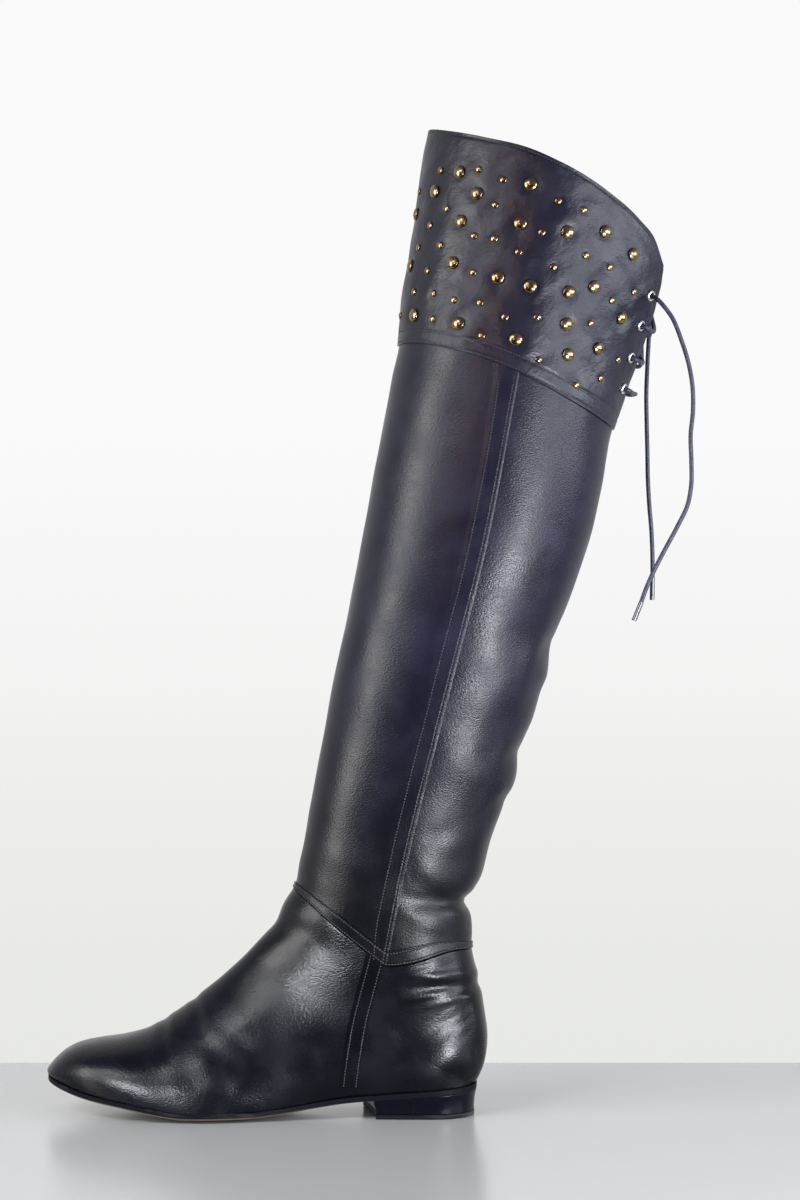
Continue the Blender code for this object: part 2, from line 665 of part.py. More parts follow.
cuff_turns = both_sides([*np.linspace(0.0, 0.88, 13), 0.92, 0.96, 1.0])
slit_share = (SLIT_FOOT - CUFF_SEAM) / (RIM - CUFF_SEAM)
cuff_shares = [0.0, slit_share, slit_share + 0.05, slit_share + 0.15, 0.4, 0.55, 0.7, 0.85, 1.0]
low_edge = cuff_seam(cuff_turns)
cuff_rows = np.array([low_edge + (rim(cuff_turns) - low_edge) * share for share in cuff_shares])
cuff_grid = np.broadcast_to(cuff_turns, cuff_rows.shape)
cuff = shell("cuff", cuff_rows, cuff_grid, np.zeros(cuff_rows.shape), CUFF_LEATHER, CUFF_LAP)


def on_side(x, z, outer=True, rows=CUFF_ROWS, lap=CUFF_LAP):
    """Frame on the boot's outside at x and z seen from the side: place, outward, up and back."""
    side = -1.0 if outer else 1.0
    row, turn = sum(rows) / 2, 0.5
    step = 1e-3
    longest = np.array([0.4, 0.08])
    for _ in range(30):
        here = skin(row, side * turn)
        by_row = (skin(row + step, side * turn) - here) / step
        by_turn = (skin(row, side * (turn + step)) - here) / step
        system = np.array([[by_row[0], by_turn[0]], [by_row[2], by_turn[2]]])
        move = np.linalg.solve(system, np.array([x - here[0], z - here[2]]))
        move = np.clip(move, -longest, longest)
        row = float(np.clip(row + move[0], *rows))
        turn = float(np.clip(turn + move[1], 0.02, 0.985))
    outward = Vector(skin_normal(row, side * turn))
    place = Vector(skin(row, side * turn)) + outward * lap
    back = Vector(skin(row, side * (turn + step)) - skin(row, side * turn)).normalized()
    return place, outward, outward.cross(back), back


def standing_on(frame):
    """Matrix that stands a shape, drawn in millimetres along Z, on a frame of the boot's outside."""
    place, outward, up, back = frame
    axes = Matrix((back, up, outward)).transposed().to_4x4()
    return Matrix.Scale(MM, 4) @ Matrix.Translation(place) @ axes


def turned(name, profile, sides, frame, material):
    """Solid turned from a profile of radius and height, standing on a frame of the cuff."""
    form = bmesh.new()
    points = [form.verts.new(Vector((radius, 0.0, height))) for radius, height in profile]
    closed = profile[0][0] > 0.0
    lines = [form.edges.new(pair) for pair in zip(points, points[1:])]
    if closed:
        lines.append(form.edges.new((points[-1], points[0])))
    bmesh.ops.spin(form, geom=points + lines, axis=(0, 0, 1), cent=(0, 0, 0), angle=2 * math.pi,
                   steps=sides, use_merge=True)
    bmesh.ops.remove_doubles(form, verts=form.verts[:], dist=1e-4)
    bmesh.ops.transform(form, matrix=standing_on(frame), verts=form.verts[:])
    return add_object(name, mesh_of(form, name), material)


# Raised seam down the side of the foot


def foot_seam(name, outer):
    """Flat strip that lies on the upper in front of the seam's back edge."""
    frames = [on_side(x, z, outer, QUARTER_ROWS, 0.0) for x, z in FOOT_SEAM]
    form = bmesh.new()
    rings = []
    for i, (place, outward, up, back) in enumerate(frames):
        run = frames[min(i + 1, len(frames) - 1)][0] - frames[max(i - 1, 0)][0]
        forward = outward.cross(run).normalized() * FOOT_SEAM_WIDTH
        if forward.x > 0.0:
            forward.negate()
        low = place + outward * FOOT_SEAM_GAP
        high = low + outward * LAP
        corners = (low, low + forward, high + forward, high)
        rings.append([form.verts.new(corner * MM) for corner in corners])
    for first, second in zip(rings, rings[1:]):
        for i in range(4):
            j = (i + 1) % 4
            form.faces.new((first[i], first[j], second[j], second[i]))
    form.faces.new(rings[0])
    form.faces.new(rings[-1])
    return add_object(name, mesh_of(form, name), LEATHER)


foot_seam("foot_seam_outer", True)
foot_seam("foot_seam_inner", False)

# Large studs

stud_profile = [
    (0.0, GAP),
    (STUD_RADIUS, GAP),
    (STUD_RADIUS * STUD_SHOULDER[0], STUD_HEIGHT * STUD_SHOULDER[1]),
    (0.0, STUD_HEIGHT),
]
for number, (x, z, both) in enumerate(STUDS, 1):
    turned(f"stud_outer_{number:02d}", stud_profile, STUD_SIDES, on_side(x, z), BRASS)
    if both:
        turned(f"stud_inner_{number:02d}", stud_profile, STUD_SIDES, on_side(x, z, False), BRASS)

# Eyelets, and the bores they are set in

flange_top = EYELET_SEAT + EYELET_RISE
eyelet_profile = [
    (EYELET_HOLE, flange_top),
    (EYELET_FLANGE, flange_top - EYELET_ROLL),
    (EYELET_FLANGE, EYELET_SEAT),
    (EYELET_BARREL, EYELET_SEAT),
    (EYELET_BARREL, -WALL),
    (EYELET_HOLE, -WALL),
]
bores = bmesh.new()
for outer, side_name in ((True, "outer"), (False, "inner")):
    for number, (x, z) in enumerate(EYELETS, 1):
        frame = on_side(x, z, outer)
        turned(f"eyelet_{side_name}_{number}", eyelet_profile, EYELET_SIDES, frame, NICKEL)
        bmesh.ops.create_cone(bores, cap_ends=True, segments=EYELET_SIDES, radius1=EYELET_BORE,
                              radius2=EYELET_BORE, depth=BORE_DEPTH, matrix=standing_on(frame))
bore_mesh = mesh_of(bores, "eyelet_bores")
bore_cutter = bpy.data.objects.new("eyelet_bores", bore_mesh)
bpy.context.collection.objects.link(bore_cutter)
bore_cutter.hide_render = True
bore_cutter.display_type = "WIRE"
cut = cuff.modifiers.new("eyelet_bores", "BOOLEAN")
cut.operation = "DIFFERENCE"
cut.object = bore_cutter


# Lace


def cord(name, route, diameter, material, spacing=3.0):
    """Round cord along a smooth curve through the points of its route."""
    route = [Vector(point) for point in route]
    lengths = [0.0]
    for a, b in zip(route, route[1:]):
        lengths.append(lengths[-1] + (b - a).length)
    along = smooth_curve(lengths, [tuple(point) for point in route])
    count = max(4, round(lengths[-1] / (diameter * spacing)))
    data = bpy.data.curves.new(name, "CURVE")
    data.dimensions = "3D"
    data.bevel_depth = diameter / 2 * MM
    data.bevel_resolution = 2
    data.use_fill_caps = True
    data.materials.append(material)
    spline = data.splines.new("POLY")
    spline.points.add(count)
    for point, place in zip(spline.points, along(np.linspace(0.0, lengths[-1], count + 1))):
        point.co = (*(place * MM), 1.0)
    item = bpy.data.objects.new(name, data)
    bpy.context.collection.objects.link(item)
    return item


def across(point):
    """The same place on the other side of the leg."""
    return Vector((point.x, -point.y, point.z))


def joined_cross(name, strand):
    """A strand and its mirror image, joined where they cross at the middle of the slit."""
    pieces = []
    for part, route in (("a", strand), ("b", [across(point) for point in strand])):
        item = cord(f"{name}_{part}", route, LACE_DIAMETER, LACE_CORD, CROSS_SPACING)
        evaluated = item.evaluated_get(bpy.context.evaluated_depsgraph_get())
        mesh = bpy.data.meshes.new_from_object(evaluated)
        bpy.data.objects.remove(item, do_unlink=True)
        pieces.append(mesh)
    whole = add_object(name, pieces[0], LACE_CORD)
    other = bpy.data.objects.new(f"{name}_other_strand", pieces[1])
    bpy.context.collection.objects.link(other)
    other.hide_render = True
    other.display_type = "WIRE"
    union = whole.modifiers.new("crossing", "BOOLEAN")
    union.operation = "UNION"
    union.object = other


lace_out = flange_top + LACE_DIAMETER / 2 + GAP
lace_in = WALL + LACE_DIAMETER / 2 + GAP
outside_of = []
inside_of = []
outer_edge = []
inner_edge = []
for x, z in EYELETS:
    place, outward, up, back = on_side(x, z)
    outside_of.append(place + outward * lace_out)
    inside_of.append(place - outward * lace_in - back * INNER_TAIL)
    outer_edge.append(place + back * EDGE_RUN + outward * lace_out)
    inner_edge.append(place + back * INNER_RUN - outward * (lace_in + INNER_DROP))

for upper_one, name in ((0, "lace_cross_top"), (1, "lace_cross_middle")):
    lower_one = upper_one + 1
    start, edge = outside_of[lower_one], outer_edge[lower_one]
    stop, far_edge = across(inside_of[upper_one]), across(inner_edge[upper_one])
    middle = (edge + far_edge) / 2
    middle.y = 0.0
    joined_cross(name, [start, edge, middle, far_edge, stop])
middle = (inside_of[3] + inside_of[2]) / 2
middle.y = 0.0
middle.x -= LACE_SLACK
joined_cross("lace_cross_inside", [inside_of[3], middle, across(inside_of[2])])
bar_middle = outer_edge[3].copy()
bar_middle.x += LACE_SLACK
bar_middle.y = 0.0
bar_edge = outer_edge[3]
bar = [outside_of[3], bar_edge, bar_middle, across(bar_edge), across(outside_of[3])]
cord("lace_bar", bar, LACE_DIAMETER, LACE_CORD, CROSS_SPACING)

top_place, top_outward = on_side(*EYELETS[0])[:2]
exit_outer = top_place + top_outward * (flange_top + GAP)
cord("lace_end_outer", [exit_outer, *LACE_END_OUTER], LACE_DIAMETER, LACE_CORD)
cord("lace_end_inner", [across(exit_outer), *LACE_END_INNER], LACE_DIAMETER, LACE_CORD)

aglets = {
    "aglet_outer": (LACE_END_OUTER[-1], AGLET_OUTER_TIP),
    "aglet_inner": (LACE_END_INNER[-1], AGLET_INNER_TIP),
}
for name, (start, tip) in aglets.items():
    run = (Vector(tip) - Vector(start)).normalized()
    cord(name, [Vector(start) + run * GAP, tip], AGLET_DIAMETER, NICKEL)
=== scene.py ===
import math

import bmesh
import bpy
import numpy as np
from mathutils import Matrix, Vector


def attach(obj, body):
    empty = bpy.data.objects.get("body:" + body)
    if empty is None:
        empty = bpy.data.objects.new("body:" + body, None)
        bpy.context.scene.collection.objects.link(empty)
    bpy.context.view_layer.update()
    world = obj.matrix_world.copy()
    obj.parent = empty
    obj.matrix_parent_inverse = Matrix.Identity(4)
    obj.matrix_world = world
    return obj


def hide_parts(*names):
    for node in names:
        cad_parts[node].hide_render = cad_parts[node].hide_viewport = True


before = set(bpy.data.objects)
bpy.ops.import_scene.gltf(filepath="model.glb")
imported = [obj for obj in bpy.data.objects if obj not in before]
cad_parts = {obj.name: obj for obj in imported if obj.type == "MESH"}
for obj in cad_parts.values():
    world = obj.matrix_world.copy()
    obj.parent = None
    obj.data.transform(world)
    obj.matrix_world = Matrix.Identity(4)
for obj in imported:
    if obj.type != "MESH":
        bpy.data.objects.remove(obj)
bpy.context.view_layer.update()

# Outsole: a thin sheet sole in two layers, a dark one with a worn edge and a pale one on the ground.
# It is cut to the foot's plan and cemented under the upper, with toe spring, tread, waist and seat.
# All tables are in millimetres, toe to -X, outer side to -Y.
MM = 0.001
SOLE_THICK = 3.0
SOLE_LAYERS = [
    # name, inset, lower and upper height above the tread
    ("outsole_edge", 0.0, 0.6, SOLE_THICK),
    ("outsole_tread", 0.3, 0.0, 0.6),
]
SOLE_EDGE_ROUND = 0.3
SOLE_SHINE = 0.04
SOLE_WELD = 0.01
SOLE_TIP = -219.8
SOLE_BACK = 32.0
TREAD_FRONT = -138.0
TREAD_BACK = -104.0
SEAT_FRONT = -38.0
SEAT_HEIGHT = 12.9
SEAT_SLOPE = 0.075
TOE_SPRING = 18.4
TOE_SPRING_POWER = 1.35
EDGE_LIFT = 2.2
EDGE_LIFT_END = -205.0
EDGE_LIFT_FULL = -165.0
FLAT_SHARE = 0.55
TOE_ROUND_START = -150.0
TOE_ROUND = 2.4
HEEL_ROUND_START = 4.0
HEEL_ROUND = 2.3
SOLE_PLAN = [
    # x, middle line y, half width
    (-222.0, 7.6, 40.5),
    (-175.0, 4.0, 41.5),
    (-148.0, 0.6, 41.5),
    (-124.0, -2.4, 40.0),
    (-100.0, -4.0, 34.0),
    (-75.0, -3.8, 28.0),
    (-40.0, -1.2, 26.8),
    (0.0, 0.0, 28.5),
    (40.0, 0.0, 28.5),
]


def smooth_curve(keys, values):
    """Smooth curve through rows of values at rising keys, as a function of the key."""
    keys = np.asarray(keys, float)
    values = np.asarray(values, float)
    slopes = np.gradient(values, keys, axis=0)

    def at(key):
        key = np.clip(np.asarray(key, float), keys[0], keys[-1])
        left = np.clip(np.searchsorted(keys, key, side="right") - 1, 0, len(keys) - 2)
        span = keys[left + 1] - keys[left]
        t = ((key - keys[left]) / span)[..., None]
        span = span[..., None]
        start = (1 + 2 * t) * (1 - t) ** 2 * values[left] + t * (1 - t) ** 2 * span * slopes[left]
        stop = t * t * (3 - 2 * t) * values[left + 1] + t * t * (t - 1) * span * slopes[left + 1]
        return start + stop

    return at


def ease(low, high, value):
    """Rises smoothly from 0 at low to 1 at high."""
    t = np.clip((np.asarray(value, float) - low) / (high - low), 0.0, 1.0)
    return t * t * (3 - 2 * t)


plan_rows = smooth_curve([row[0] for row in SOLE_PLAN], [row[1:] for row in SOLE_PLAN])


def sole_plan(x, inset=0.0):
    """Middle line and half width of the sole at x, drawn in by inset all round."""
    x = np.asarray(x, float)
    rows = plan_rows(x)
    toe = np.clip((TOE_ROUND_START - x) / (TOE_ROUND_START - SOLE_TIP - inset), 0.0, 1.0)
    heel = np.clip((x - HEEL_ROUND_START) / (SOLE_BACK - inset - HEEL_ROUND_START), 0.0, 1.0)
    round_toe = (1 - toe ** TOE_ROUND) ** 0.5
    round_heel = (1 - heel ** HEEL_ROUND) ** (1 / HEEL_ROUND)
    return rows[..., 0], (rows[..., 1] - inset) * round_toe * round_heel


def tread_height(x, across=0.0):
    """Height of the sole's underside: toe spring, tread, waist and heel seat, edges lifted."""
    x = np.asarray(x, float)
    toe = np.clip((TREAD_FRONT - x) / (TREAD_FRONT - SOLE_TIP), 0.0, None)
    t = np.clip((x - TREAD_BACK) / (SEAT_FRONT - TREAD_BACK), 0.0, 1.0)
    run = SEAT_FRONT - TREAD_BACK
    seat_start = SEAT_HEIGHT + SEAT_SLOPE * SEAT_FRONT
    waist = t * t * (3 - 2 * t) * seat_start + t * t * (t - 1) * run * SEAT_SLOPE
    seat = SEAT_HEIGHT + SEAT_SLOPE * x
    middle = np.where(x > SEAT_FRONT, seat, np.where(x < TREAD_FRONT, 0.0, waist))
    edge = np.clip((np.abs(across) - FLAT_SHARE) / (1 - FLAT_SHARE), 0.0, 1.0) ** 2
    lift = EDGE_LIFT * (1 - ease(TREAD_BACK, SEAT_FRONT, x)) * ease(EDGE_LIFT_END, EDGE_LIFT_FULL, x)
    return middle + TOE_SPRING * toe ** TOE_SPRING_POWER + lift * edge


def sole_layer(inset, low, high, along=150, across=36):
    """Sheet that follows the tread between two heights above it, drawn in by inset."""
    form = bmesh.new()
    bmesh.ops.create_grid(form, x_segments=across, y_segments=along, size=1.0)
    share = np.tile(np.sin(np.linspace(-0.5, 0.5, across + 1) * math.pi), along + 1)
    length = np.repeat((1 - np.cos(np.linspace(0.0, math.pi, along + 1))) / 2, across + 1)
    x = SOLE_TIP + inset + (SOLE_BACK - SOLE_TIP - 2 * inset) * length
    axis, half = sole_plan(x, inset)
    z = tread_height(x, share * half / np.maximum(sole_plan(x)[1], 1e-6)) + high
    for vert, place in zip(form.verts, np.stack([x, axis + share * half, z], axis=-1) * MM):
        vert.co = place
    bmesh.ops.remove_doubles(form, verts=form.verts[:], dist=SOLE_WELD * MM)
    lower = bmesh.ops.extrude_face_region(form, geom=form.faces[:])
    moved = [item for item in lower["geom"] if isinstance(item, bmesh.types.BMVert)]
    bmesh.ops.translate(form, verts=moved, vec=(0.0, 0.0, (low - high) * MM))
    bmesh.ops.recalc_face_normals(form, faces=form.faces[:])
    return form


def add_piece(name, form, materials, nodes=(), sharp=40.0):
    """Hands a bmesh over as a piece of the boot, in place of the named solids."""
    mesh = bpy.data.meshes.new(name)
    form.to_mesh(mesh)
    form.free()
    for material in materials:
        mesh.materials.append(material)
    mesh.shade_smooth()
    mesh.set_sharp_from_angle(angle=math.radians(sharp))
    piece = bpy.data.objects.new(name, mesh)
    bpy.context.collection.objects.link(piece)
    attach(piece, "root")
    if nodes:
        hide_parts(*nodes)
    return piece


def round_edges(piece, width, segments=2, angle=40.0):
    """Rounds the sharp edges of a piece."""
    bevel = piece.modifiers.new("edges", "BEVEL")
    bevel.width = width * MM
    bevel.segments = segments
    bevel.limit_method = "ANGLE"
    bevel.angle_limit = math.radians(angle)
    return piece


def new_material(name, colour, roughness, metallic=0.0, coat=0.0, coat_roughness=0.1):
    """Material with plain values, and its node tree and shader for what varies."""
    material = bpy.data.materials.new(name)
    material.use_nodes = True
    shader = material.node_tree.nodes["Principled BSDF"]
    shader.inputs["Base Color"].default_value = (*colour, 1.0)
    shader.inputs["Roughness"].default_value = roughness
    shader.inputs["Metallic"].default_value = metallic
    shader.inputs["Coat Weight"].default_value = coat
    shader.inputs["Coat Roughness"].default_value = coat_roughness
    return material, material.node_tree, shader


def noise(tree, scale, detail=2.0, stretch=(1.0, 1.0, 1.0)):
    """Noise over the boot's own coordinates, with so many lumps to the metre."""
    place = tree.nodes.new("ShaderNodeTexCoord")
    mapping = tree.nodes.new("ShaderNodeMapping")
    mapping.inputs["Scale"].default_value = stretch
    texture = tree.nodes.new("ShaderNodeTexNoise")
    texture.inputs["Scale"].default_value = scale
    texture.inputs["Detail"].default_value = detail
    tree.links.new(place.outputs["Object"], mapping.inputs["Vector"])
    tree.links.new(mapping.outputs["Vector"], texture.inputs["Vector"])
    return texture.outputs["Fac"]


def spread(tree, source, low, high, start=0.0, stop=1.0):
    """Value that runs from start to stop while its source runs from low to high."""
    node = tree.nodes.new("ShaderNodeMapRange")
    node.interpolation_type = "SMOOTHSTEP"
    values = {"From Min": low, "From Max": high, "To Min": start, "To Max": stop}
    for key, value in values.items():
        node.inputs[key].default_value = value
    tree.links.new(source, node.inputs["Value"])
    return node.outputs["Result"]


def blend(tree, factor, first, second):
    """Colour between two, each a colour or a socket."""
    node = tree.nodes.new("ShaderNodeMix")
    node.data_type = "RGBA"
    tree.links.new(factor, node.inputs["Factor"])
    for socket, value in ((node.inputs[6], first), (node.inputs[7], second)):
        if isinstance(value, tuple):
            socket.default_value = (*value, 1.0)
        else:
            tree.links.new(value, socket)
    return node.outputs[2]


def bump(tree, shader, height, distance, strength=1.0):
    """Raises the surface by height times a distance in millimetres."""
    node = tree.nodes.new("ShaderNodeBump")
    node.inputs["Strength"].default_value = strength
    node.inputs["Distance"].default_value = distance * MM
    tree.links.new(height, node.inputs["Height"])
    tree.links.new(node.outputs["Normal"], shader.inputs["Normal"])


def sole_finish(name, colour, worn, roughness, waxed=None):
    """Sole surface, rubbed pale in patches and streaked along the edge, and waxed black by the heel."""
    material, tree, shader = new_material(name, colour, roughness)
    shader.inputs["Specular IOR Level"].default_value = SOLE_SHINE
    patches = spread(tree, noise(tree, scale=90.0, detail=6.0, stretch=(0.5, 0.5, 2.0)), 0.5, 0.72)
    shade = blend(tree, patches, colour, worn)
    if waxed:
        place = tree.nodes.new("ShaderNodeTexCoord")
        axes = tree.nodes.new("ShaderNodeSeparateXYZ")
        tree.links.new(place.outputs["Object"], axes.inputs["Vector"])
        by_heel = spread(tree, axes.outputs["X"], TREAD_BACK * MM, SEAT_FRONT * MM)
        shade = blend(tree, by_heel, shade, waxed)
    tree.links.new(shade, shader.inputs["Base Color"])
    scratches = noise(tree, scale=700.0, detail=4.0, stretch=(0.5, 0.5, 1.5))
    bump(tree, shader, scratches, distance=0.25, strength=0.7)
    return material


sole_black = sole_finish("sole_edge", colour=(0.004, 0.004, 0.006), worn=(0.016, 0.016, 0.016),
                         roughness=0.5, waxed=(0.003, 0.003, 0.005))
sole_tan = sole_finish("sole_tread", colour=(0.07, 0.058, 0.04), worn=(0.03, 0.026, 0.022),
                       roughness=0.75, waxed=(0.005, 0.005, 0.007))
for (name, inset, low, high), finish in zip(SOLE_LAYERS, (sole_black, sole_tan)):
    layer = add_piece(name, sole_layer(inset, low, high), [finish], ("outsole",))
    round_edges(layer, SOLE_EDGE_ROUND)

# Heel: a low block with a polished black cover and a slanted, hollowed breast, and a thin wearing
# layer under it. The block is nailed through the seat from inside and its edge is set with hot wax.
GAP = 0.3
TOP_LIFT_THICK = 2.5
BREAST_OUTER = -28.5
BREAST_INNER = -36.5
BREAST_HOLLOW = 2.0
HEEL_TAPER = 1.6
HEEL_WAIST = 0.5
HEEL_JOINT = 0.1
HEEL_LEVELS = 5
HEEL_EDGE_ROUND = 0.5
HEEL_SHINE = 0.09
LIFT_PROUD = 0.1
LIFT_EDGE_ROUND = 0.35


def heel_outline(inset, stations=26, sides=8, breast=10):
    """Outline of the heel seen from above: the two sides, the round back and the slanted breast."""
    back = SOLE_BACK - inset
    around = back - (back - HEEL_ROUND_START) * np.linspace(1.0, 0.0, stations) ** 2
    outer_side = np.linspace(BREAST_OUTER + inset, HEEL_ROUND_START, sides)
    inner_side = np.linspace(HEEL_ROUND_START, BREAST_INNER + inset, sides + 1)
    outer = np.concatenate([outer_side[:-1], around])
    inner = np.concatenate([around[-2::-1], inner_side[1:]])
    axis, half = sole_plan(outer, inset)
    points = list(np.stack([outer, axis - half], axis=-1))
    axis, half = sole_plan(inner, inset)
    points += list(np.stack([inner, axis + half], axis=-1))
    first, last = points[0], points[-1]
    for share in np.linspace(1.0, 0.0, breast + 1)[1:-1]:
        hollow = BREAST_HOLLOW * 4 * share * (1 - share)
        points.append(first + (last - first) * share + np.array([hollow, 0.0]))
    return np.array(points)


def heel_block(levels):
    """Block through outlines at rising levels, each an inset and a height as a function of x."""
    form = bmesh.new()
    rings = []
    for inset, height in levels:
        outline = heel_outline(inset)
        verts = [form.verts.new(Vector((x, y, float(height(x)))) * MM) for x, y in outline]
        rings.append([form.edges.new(pair) for pair in zip(verts, verts[1:] + verts[:1])])
    for lower, upper in zip(rings, rings[1:]):
        bmesh.ops.bridge_loops(form, edges=lower + upper)
    for ring in (rings[0], rings[-1]):
        bmesh.ops.contextual_create(form, geom=ring)
    bmesh.ops.recalc_face_normals(form, faces=form.faces[:])
    return form


def heel_level(share):
    """Inset and height of the block at a share of the way from the top lift to the seat."""
    low = TOP_LIFT_THICK + HEEL_JOINT
    inset = HEEL_TAPER * (1 - share) + HEEL_WAIST * math.sin(math.pi * share)
    return inset, lambda x: low + (tread_height(x) - HEEL_JOINT - low) * share


heel_black, tree, shader = new_material("heel_cover", (0.0018, 0.0018, 0.004), roughness=0.24)
shader.inputs["Specular IOR Level"].default_value = HEEL_SHINE
polish = spread(tree, noise(tree, scale=160.0, detail=3.0), 0.3, 0.7, start=0.18, stop=0.28)
tree.links.new(polish, shader.inputs["Roughness"])
bump(tree, shader, noise(tree, scale=180.0, stretch=(1.0, 1.0, 2.5)), distance=0.1, strength=0.25)
heel_form = heel_block([heel_level(share) for share in np.linspace(0.0, 1.0, HEEL_LEVELS)])
heel = add_piece("heel_block", heel_form, [heel_black], ("heel",))
round_edges(heel, HEEL_EDGE_ROUND, segments=3)
lift_levels = [
    # inset, height
    (HEEL_TAPER - LIFT_PROUD, lambda x: 0.0),
    (HEEL_TAPER - 2 * LIFT_PROUD, lambda x: TOP_LIFT_THICK - HEEL_JOINT),
]
lift_grey = sole_finish("top_lift", colour=(0.006, 0.006, 0.008), worn=(0.03, 0.03, 0.028), roughness=0.5)
lift = add_piece("heel_lift", heel_block(lift_levels), [lift_grey], ("top_lift",))
round_edges(lift, LIFT_EDGE_ROUND)

# Insole: a board with a thin leather sock glued on it, cut smaller than the outsole all round and laid
# loose on it inside the boot.
INSOLE_THICK = 2.4
INSOLE_INSET = 4.2
sock, tree, shader = new_material("sock_leather", (0.11, 0.09, 0.07), roughness=0.75)
bump(tree, shader, noise(tree, scale=900.0, detail=3.0), distance=0.2, strength=0.5)
insole_low = SOLE_THICK + GAP
insole_form = sole_layer(INSOLE_INSET, insole_low, insole_low + INSOLE_THICK, along=90, across=20)
add_piece("insole_sock", insole_form, [sock], ("insole",))

# Upper: the vamp and quarters, black full-grain leather pulled over a last and cemented to the sole,
# one hollow shell that is open underneath and at the ankle. Wear has left soft folds over the
# instep, across the heel and round the ankle, placed here.
UPPER_INSET = 1.0
FEATHER_GAP = 0.4
FEATHER_TUCK = 0.985
FOLLOWS_SOLE = (6.0, 9.0)
TOE_TIP_OUTWARD = (-0.92, 0.0, -0.39)
TOE_TIP_ROW = 0.02
UPPER_WALL = 1.8
UPPER_SIDE = 100
TOE_ROWS = 112
ANKLE_ROWS = 60
SOLE_END_GAP = 0.15
BACK_WELD = 0.02
LEATHER_SHARP = 70.0
FOOT_SECTIONS = [
    # front x, front z, base x, half width (0 follows the sole), widest, front round, back round, ridge y
    (-218.8, 21.8, -218.8, 0.0, 0.82, 2.2, 2.0, 7.4),
    (-220.3, 24.4, -216.3, 0.0, 0.82, 2.2, 2.0, 7.3),
    (-218.4, 27.2, -213.0, 0.0, 0.82, 2.2, 2.0, 7.2),
    (-214.4, 31.6, -208.0, 0.0, 0.82, 2.25, 2.0, 7.0),
    (-208.4, 36.5, -200.5, 0.0, 0.82, 2.3, 2.0, 6.6),
    (-200.0, 40.3, -190.0, 0.0, 0.82, 2.3, 2.0, 6.0),
    (-188.0, 42.9, -175.0, 0.0, 0.82, 2.25, 2.0, 5.4),
    (-174.0, 45.2, -156.0, 0.0, 0.82, 2.2, 2.0, 4.8),
    (-160.0, 49.2, -134.0, 0.0, 0.80, 2.1, 2.0, 4.2),
    (-147.0, 57.0, -110.0, 39.0, 0.72, 2.0, 2.0, 3.8),
    (-136.0, 64.5, -84.0, 35.4, 0.62, 2.0, 2.0, 3.4),
    (-126.5, 72.1, -56.0, 33.6, 0.54, 2.0, 2.1, 3.0),
    (-118.0, 78.9, -28.0, 33.0, 0.52, 2.0, 2.6, 2.7),
    (-111.0, 85.2, 0.0, 33.0, 0.51, 2.0, 2.9, 2.4),
    (-106.3, 89.5, 18.0, 33.2, 0.50, 2.0, 3.05, 2.2),
    (-103.5, 92.3, 27.2, 33.4, 0.50, 2.0, 2.95, 2.0),
]
LEG_SECTIONS = [
    # front x, front z, back x, back z, half width, widest, front round, back round, ridge y
    (-101.2, 94.7, 31.0, 18.5, 33.5, 0.50, 2.0, 2.85, 1.8),
    (-97.2, 98.9, 36.3, 29.2, 33.8, 0.49, 2.0, 2.75, 1.5),
    (-92.3, 104.1, 38.2, 44.0, 34.4, 0.49, 2.0, 2.55, 1.2),
    (-86.8, 111.3, 36.8, 58.8, 35.2, 0.50, 2.0, 2.4, 0.9),
    (-82.0, 120.5, 33.6, 77.0, 36.2, 0.51, 2.0, 2.2, 0.5),
    (-75.7, 131.8, 29.2, 96.0, 37.2, 0.52, 2.0, 2.0, 0.2),
    (-73.0, 139.5, 29.2, 105.0, 37.8, 0.52, 2.0, 2.0, 0.0),
    (-71.2, 148.5, 28.4, 115.0, 38.2, 0.52, 2.0, 2.0, 0.0),
    (-69.4, 157.5, 25.2, 123.8, 38.6, 0.52, 2.0, 2.0, 0.0),
    (-67.7, 167.5, 31.0, 132.0, 39.0, 0.52, 2.0, 2.0, 0.0),
    (-66.2, 177.0, 35.6, 141.0, 39.5, 0.52, 2.0, 2.0, 0.0),
    (-62.5, 197.0, 40.4, 160.5, 40.6, 0.52, 2.0, 2.0, 0.0),
    (-58.4, 218.0, 47.4, 179.3, 42.0, 0.52, 2.0, 2.0, 0.0),
    (-55.2, 235.0, 54.6, 195.0, 43.3, 0.52, 2.0, 2.0, 0.0),
    (-51.8, 254.0, 57.0, 213.5, 44.6, 0.52, 2.0, 2.0, 0.0),
    (-47.5, 274.0, 65.8, 232.0, 46.1, 0.52, 2.0, 2.0, 0.0),
    (-43.0, 295.6, 72.6, 253.0, 47.6, 0.52, 2.0, 2.0, 0.0),
    (-38.5, 318.0, 76.6, 275.0, 49.1, 0.52, 2.0, 2.0, 0.0),
    (-33.3, 346.0, 87.4, 303.0, 50.8, 0.52, 2.0, 2.0, 0.0),
    (-28.0, 376.0, 97.4, 333.5, 52.4, 0.52, 2.0, 2.0, 0.0),
    (-21.2, 411.0, 105.0, 364.5, 53.8, 0.52, 2.0, 2.0, 0.0),
    (-17.6, 430.5, 108.0, 383.0, 54.6, 0.52, 2.0, 1.95, 0.0),
    (-13.6, 449.0, 111.4, 400.0, 55.3, 0.52, 2.0, 1.85, 0.0),
    (-11.2, 475.8, 120.4, 426.6, 56.4, 0.52, 2.0, 1.6, 0.0),
    (-4.8, 513.3, 130.6, 456.8, 57.8, 0.52, 2.0, 1.5, 0.0),
    (0.4, 551.0, 138.2, 485.0, 59.0, 0.53, 2.0, 1.5, 0.0),
    (4.6, 574.0, 139.6, 502.0, 59.6, 0.53, 2.0, 1.5, 0.0),
    (9.4, 598.0, 140.6, 521.0, 60.0, 0.53, 2.0, 1.5, 0.0),
]
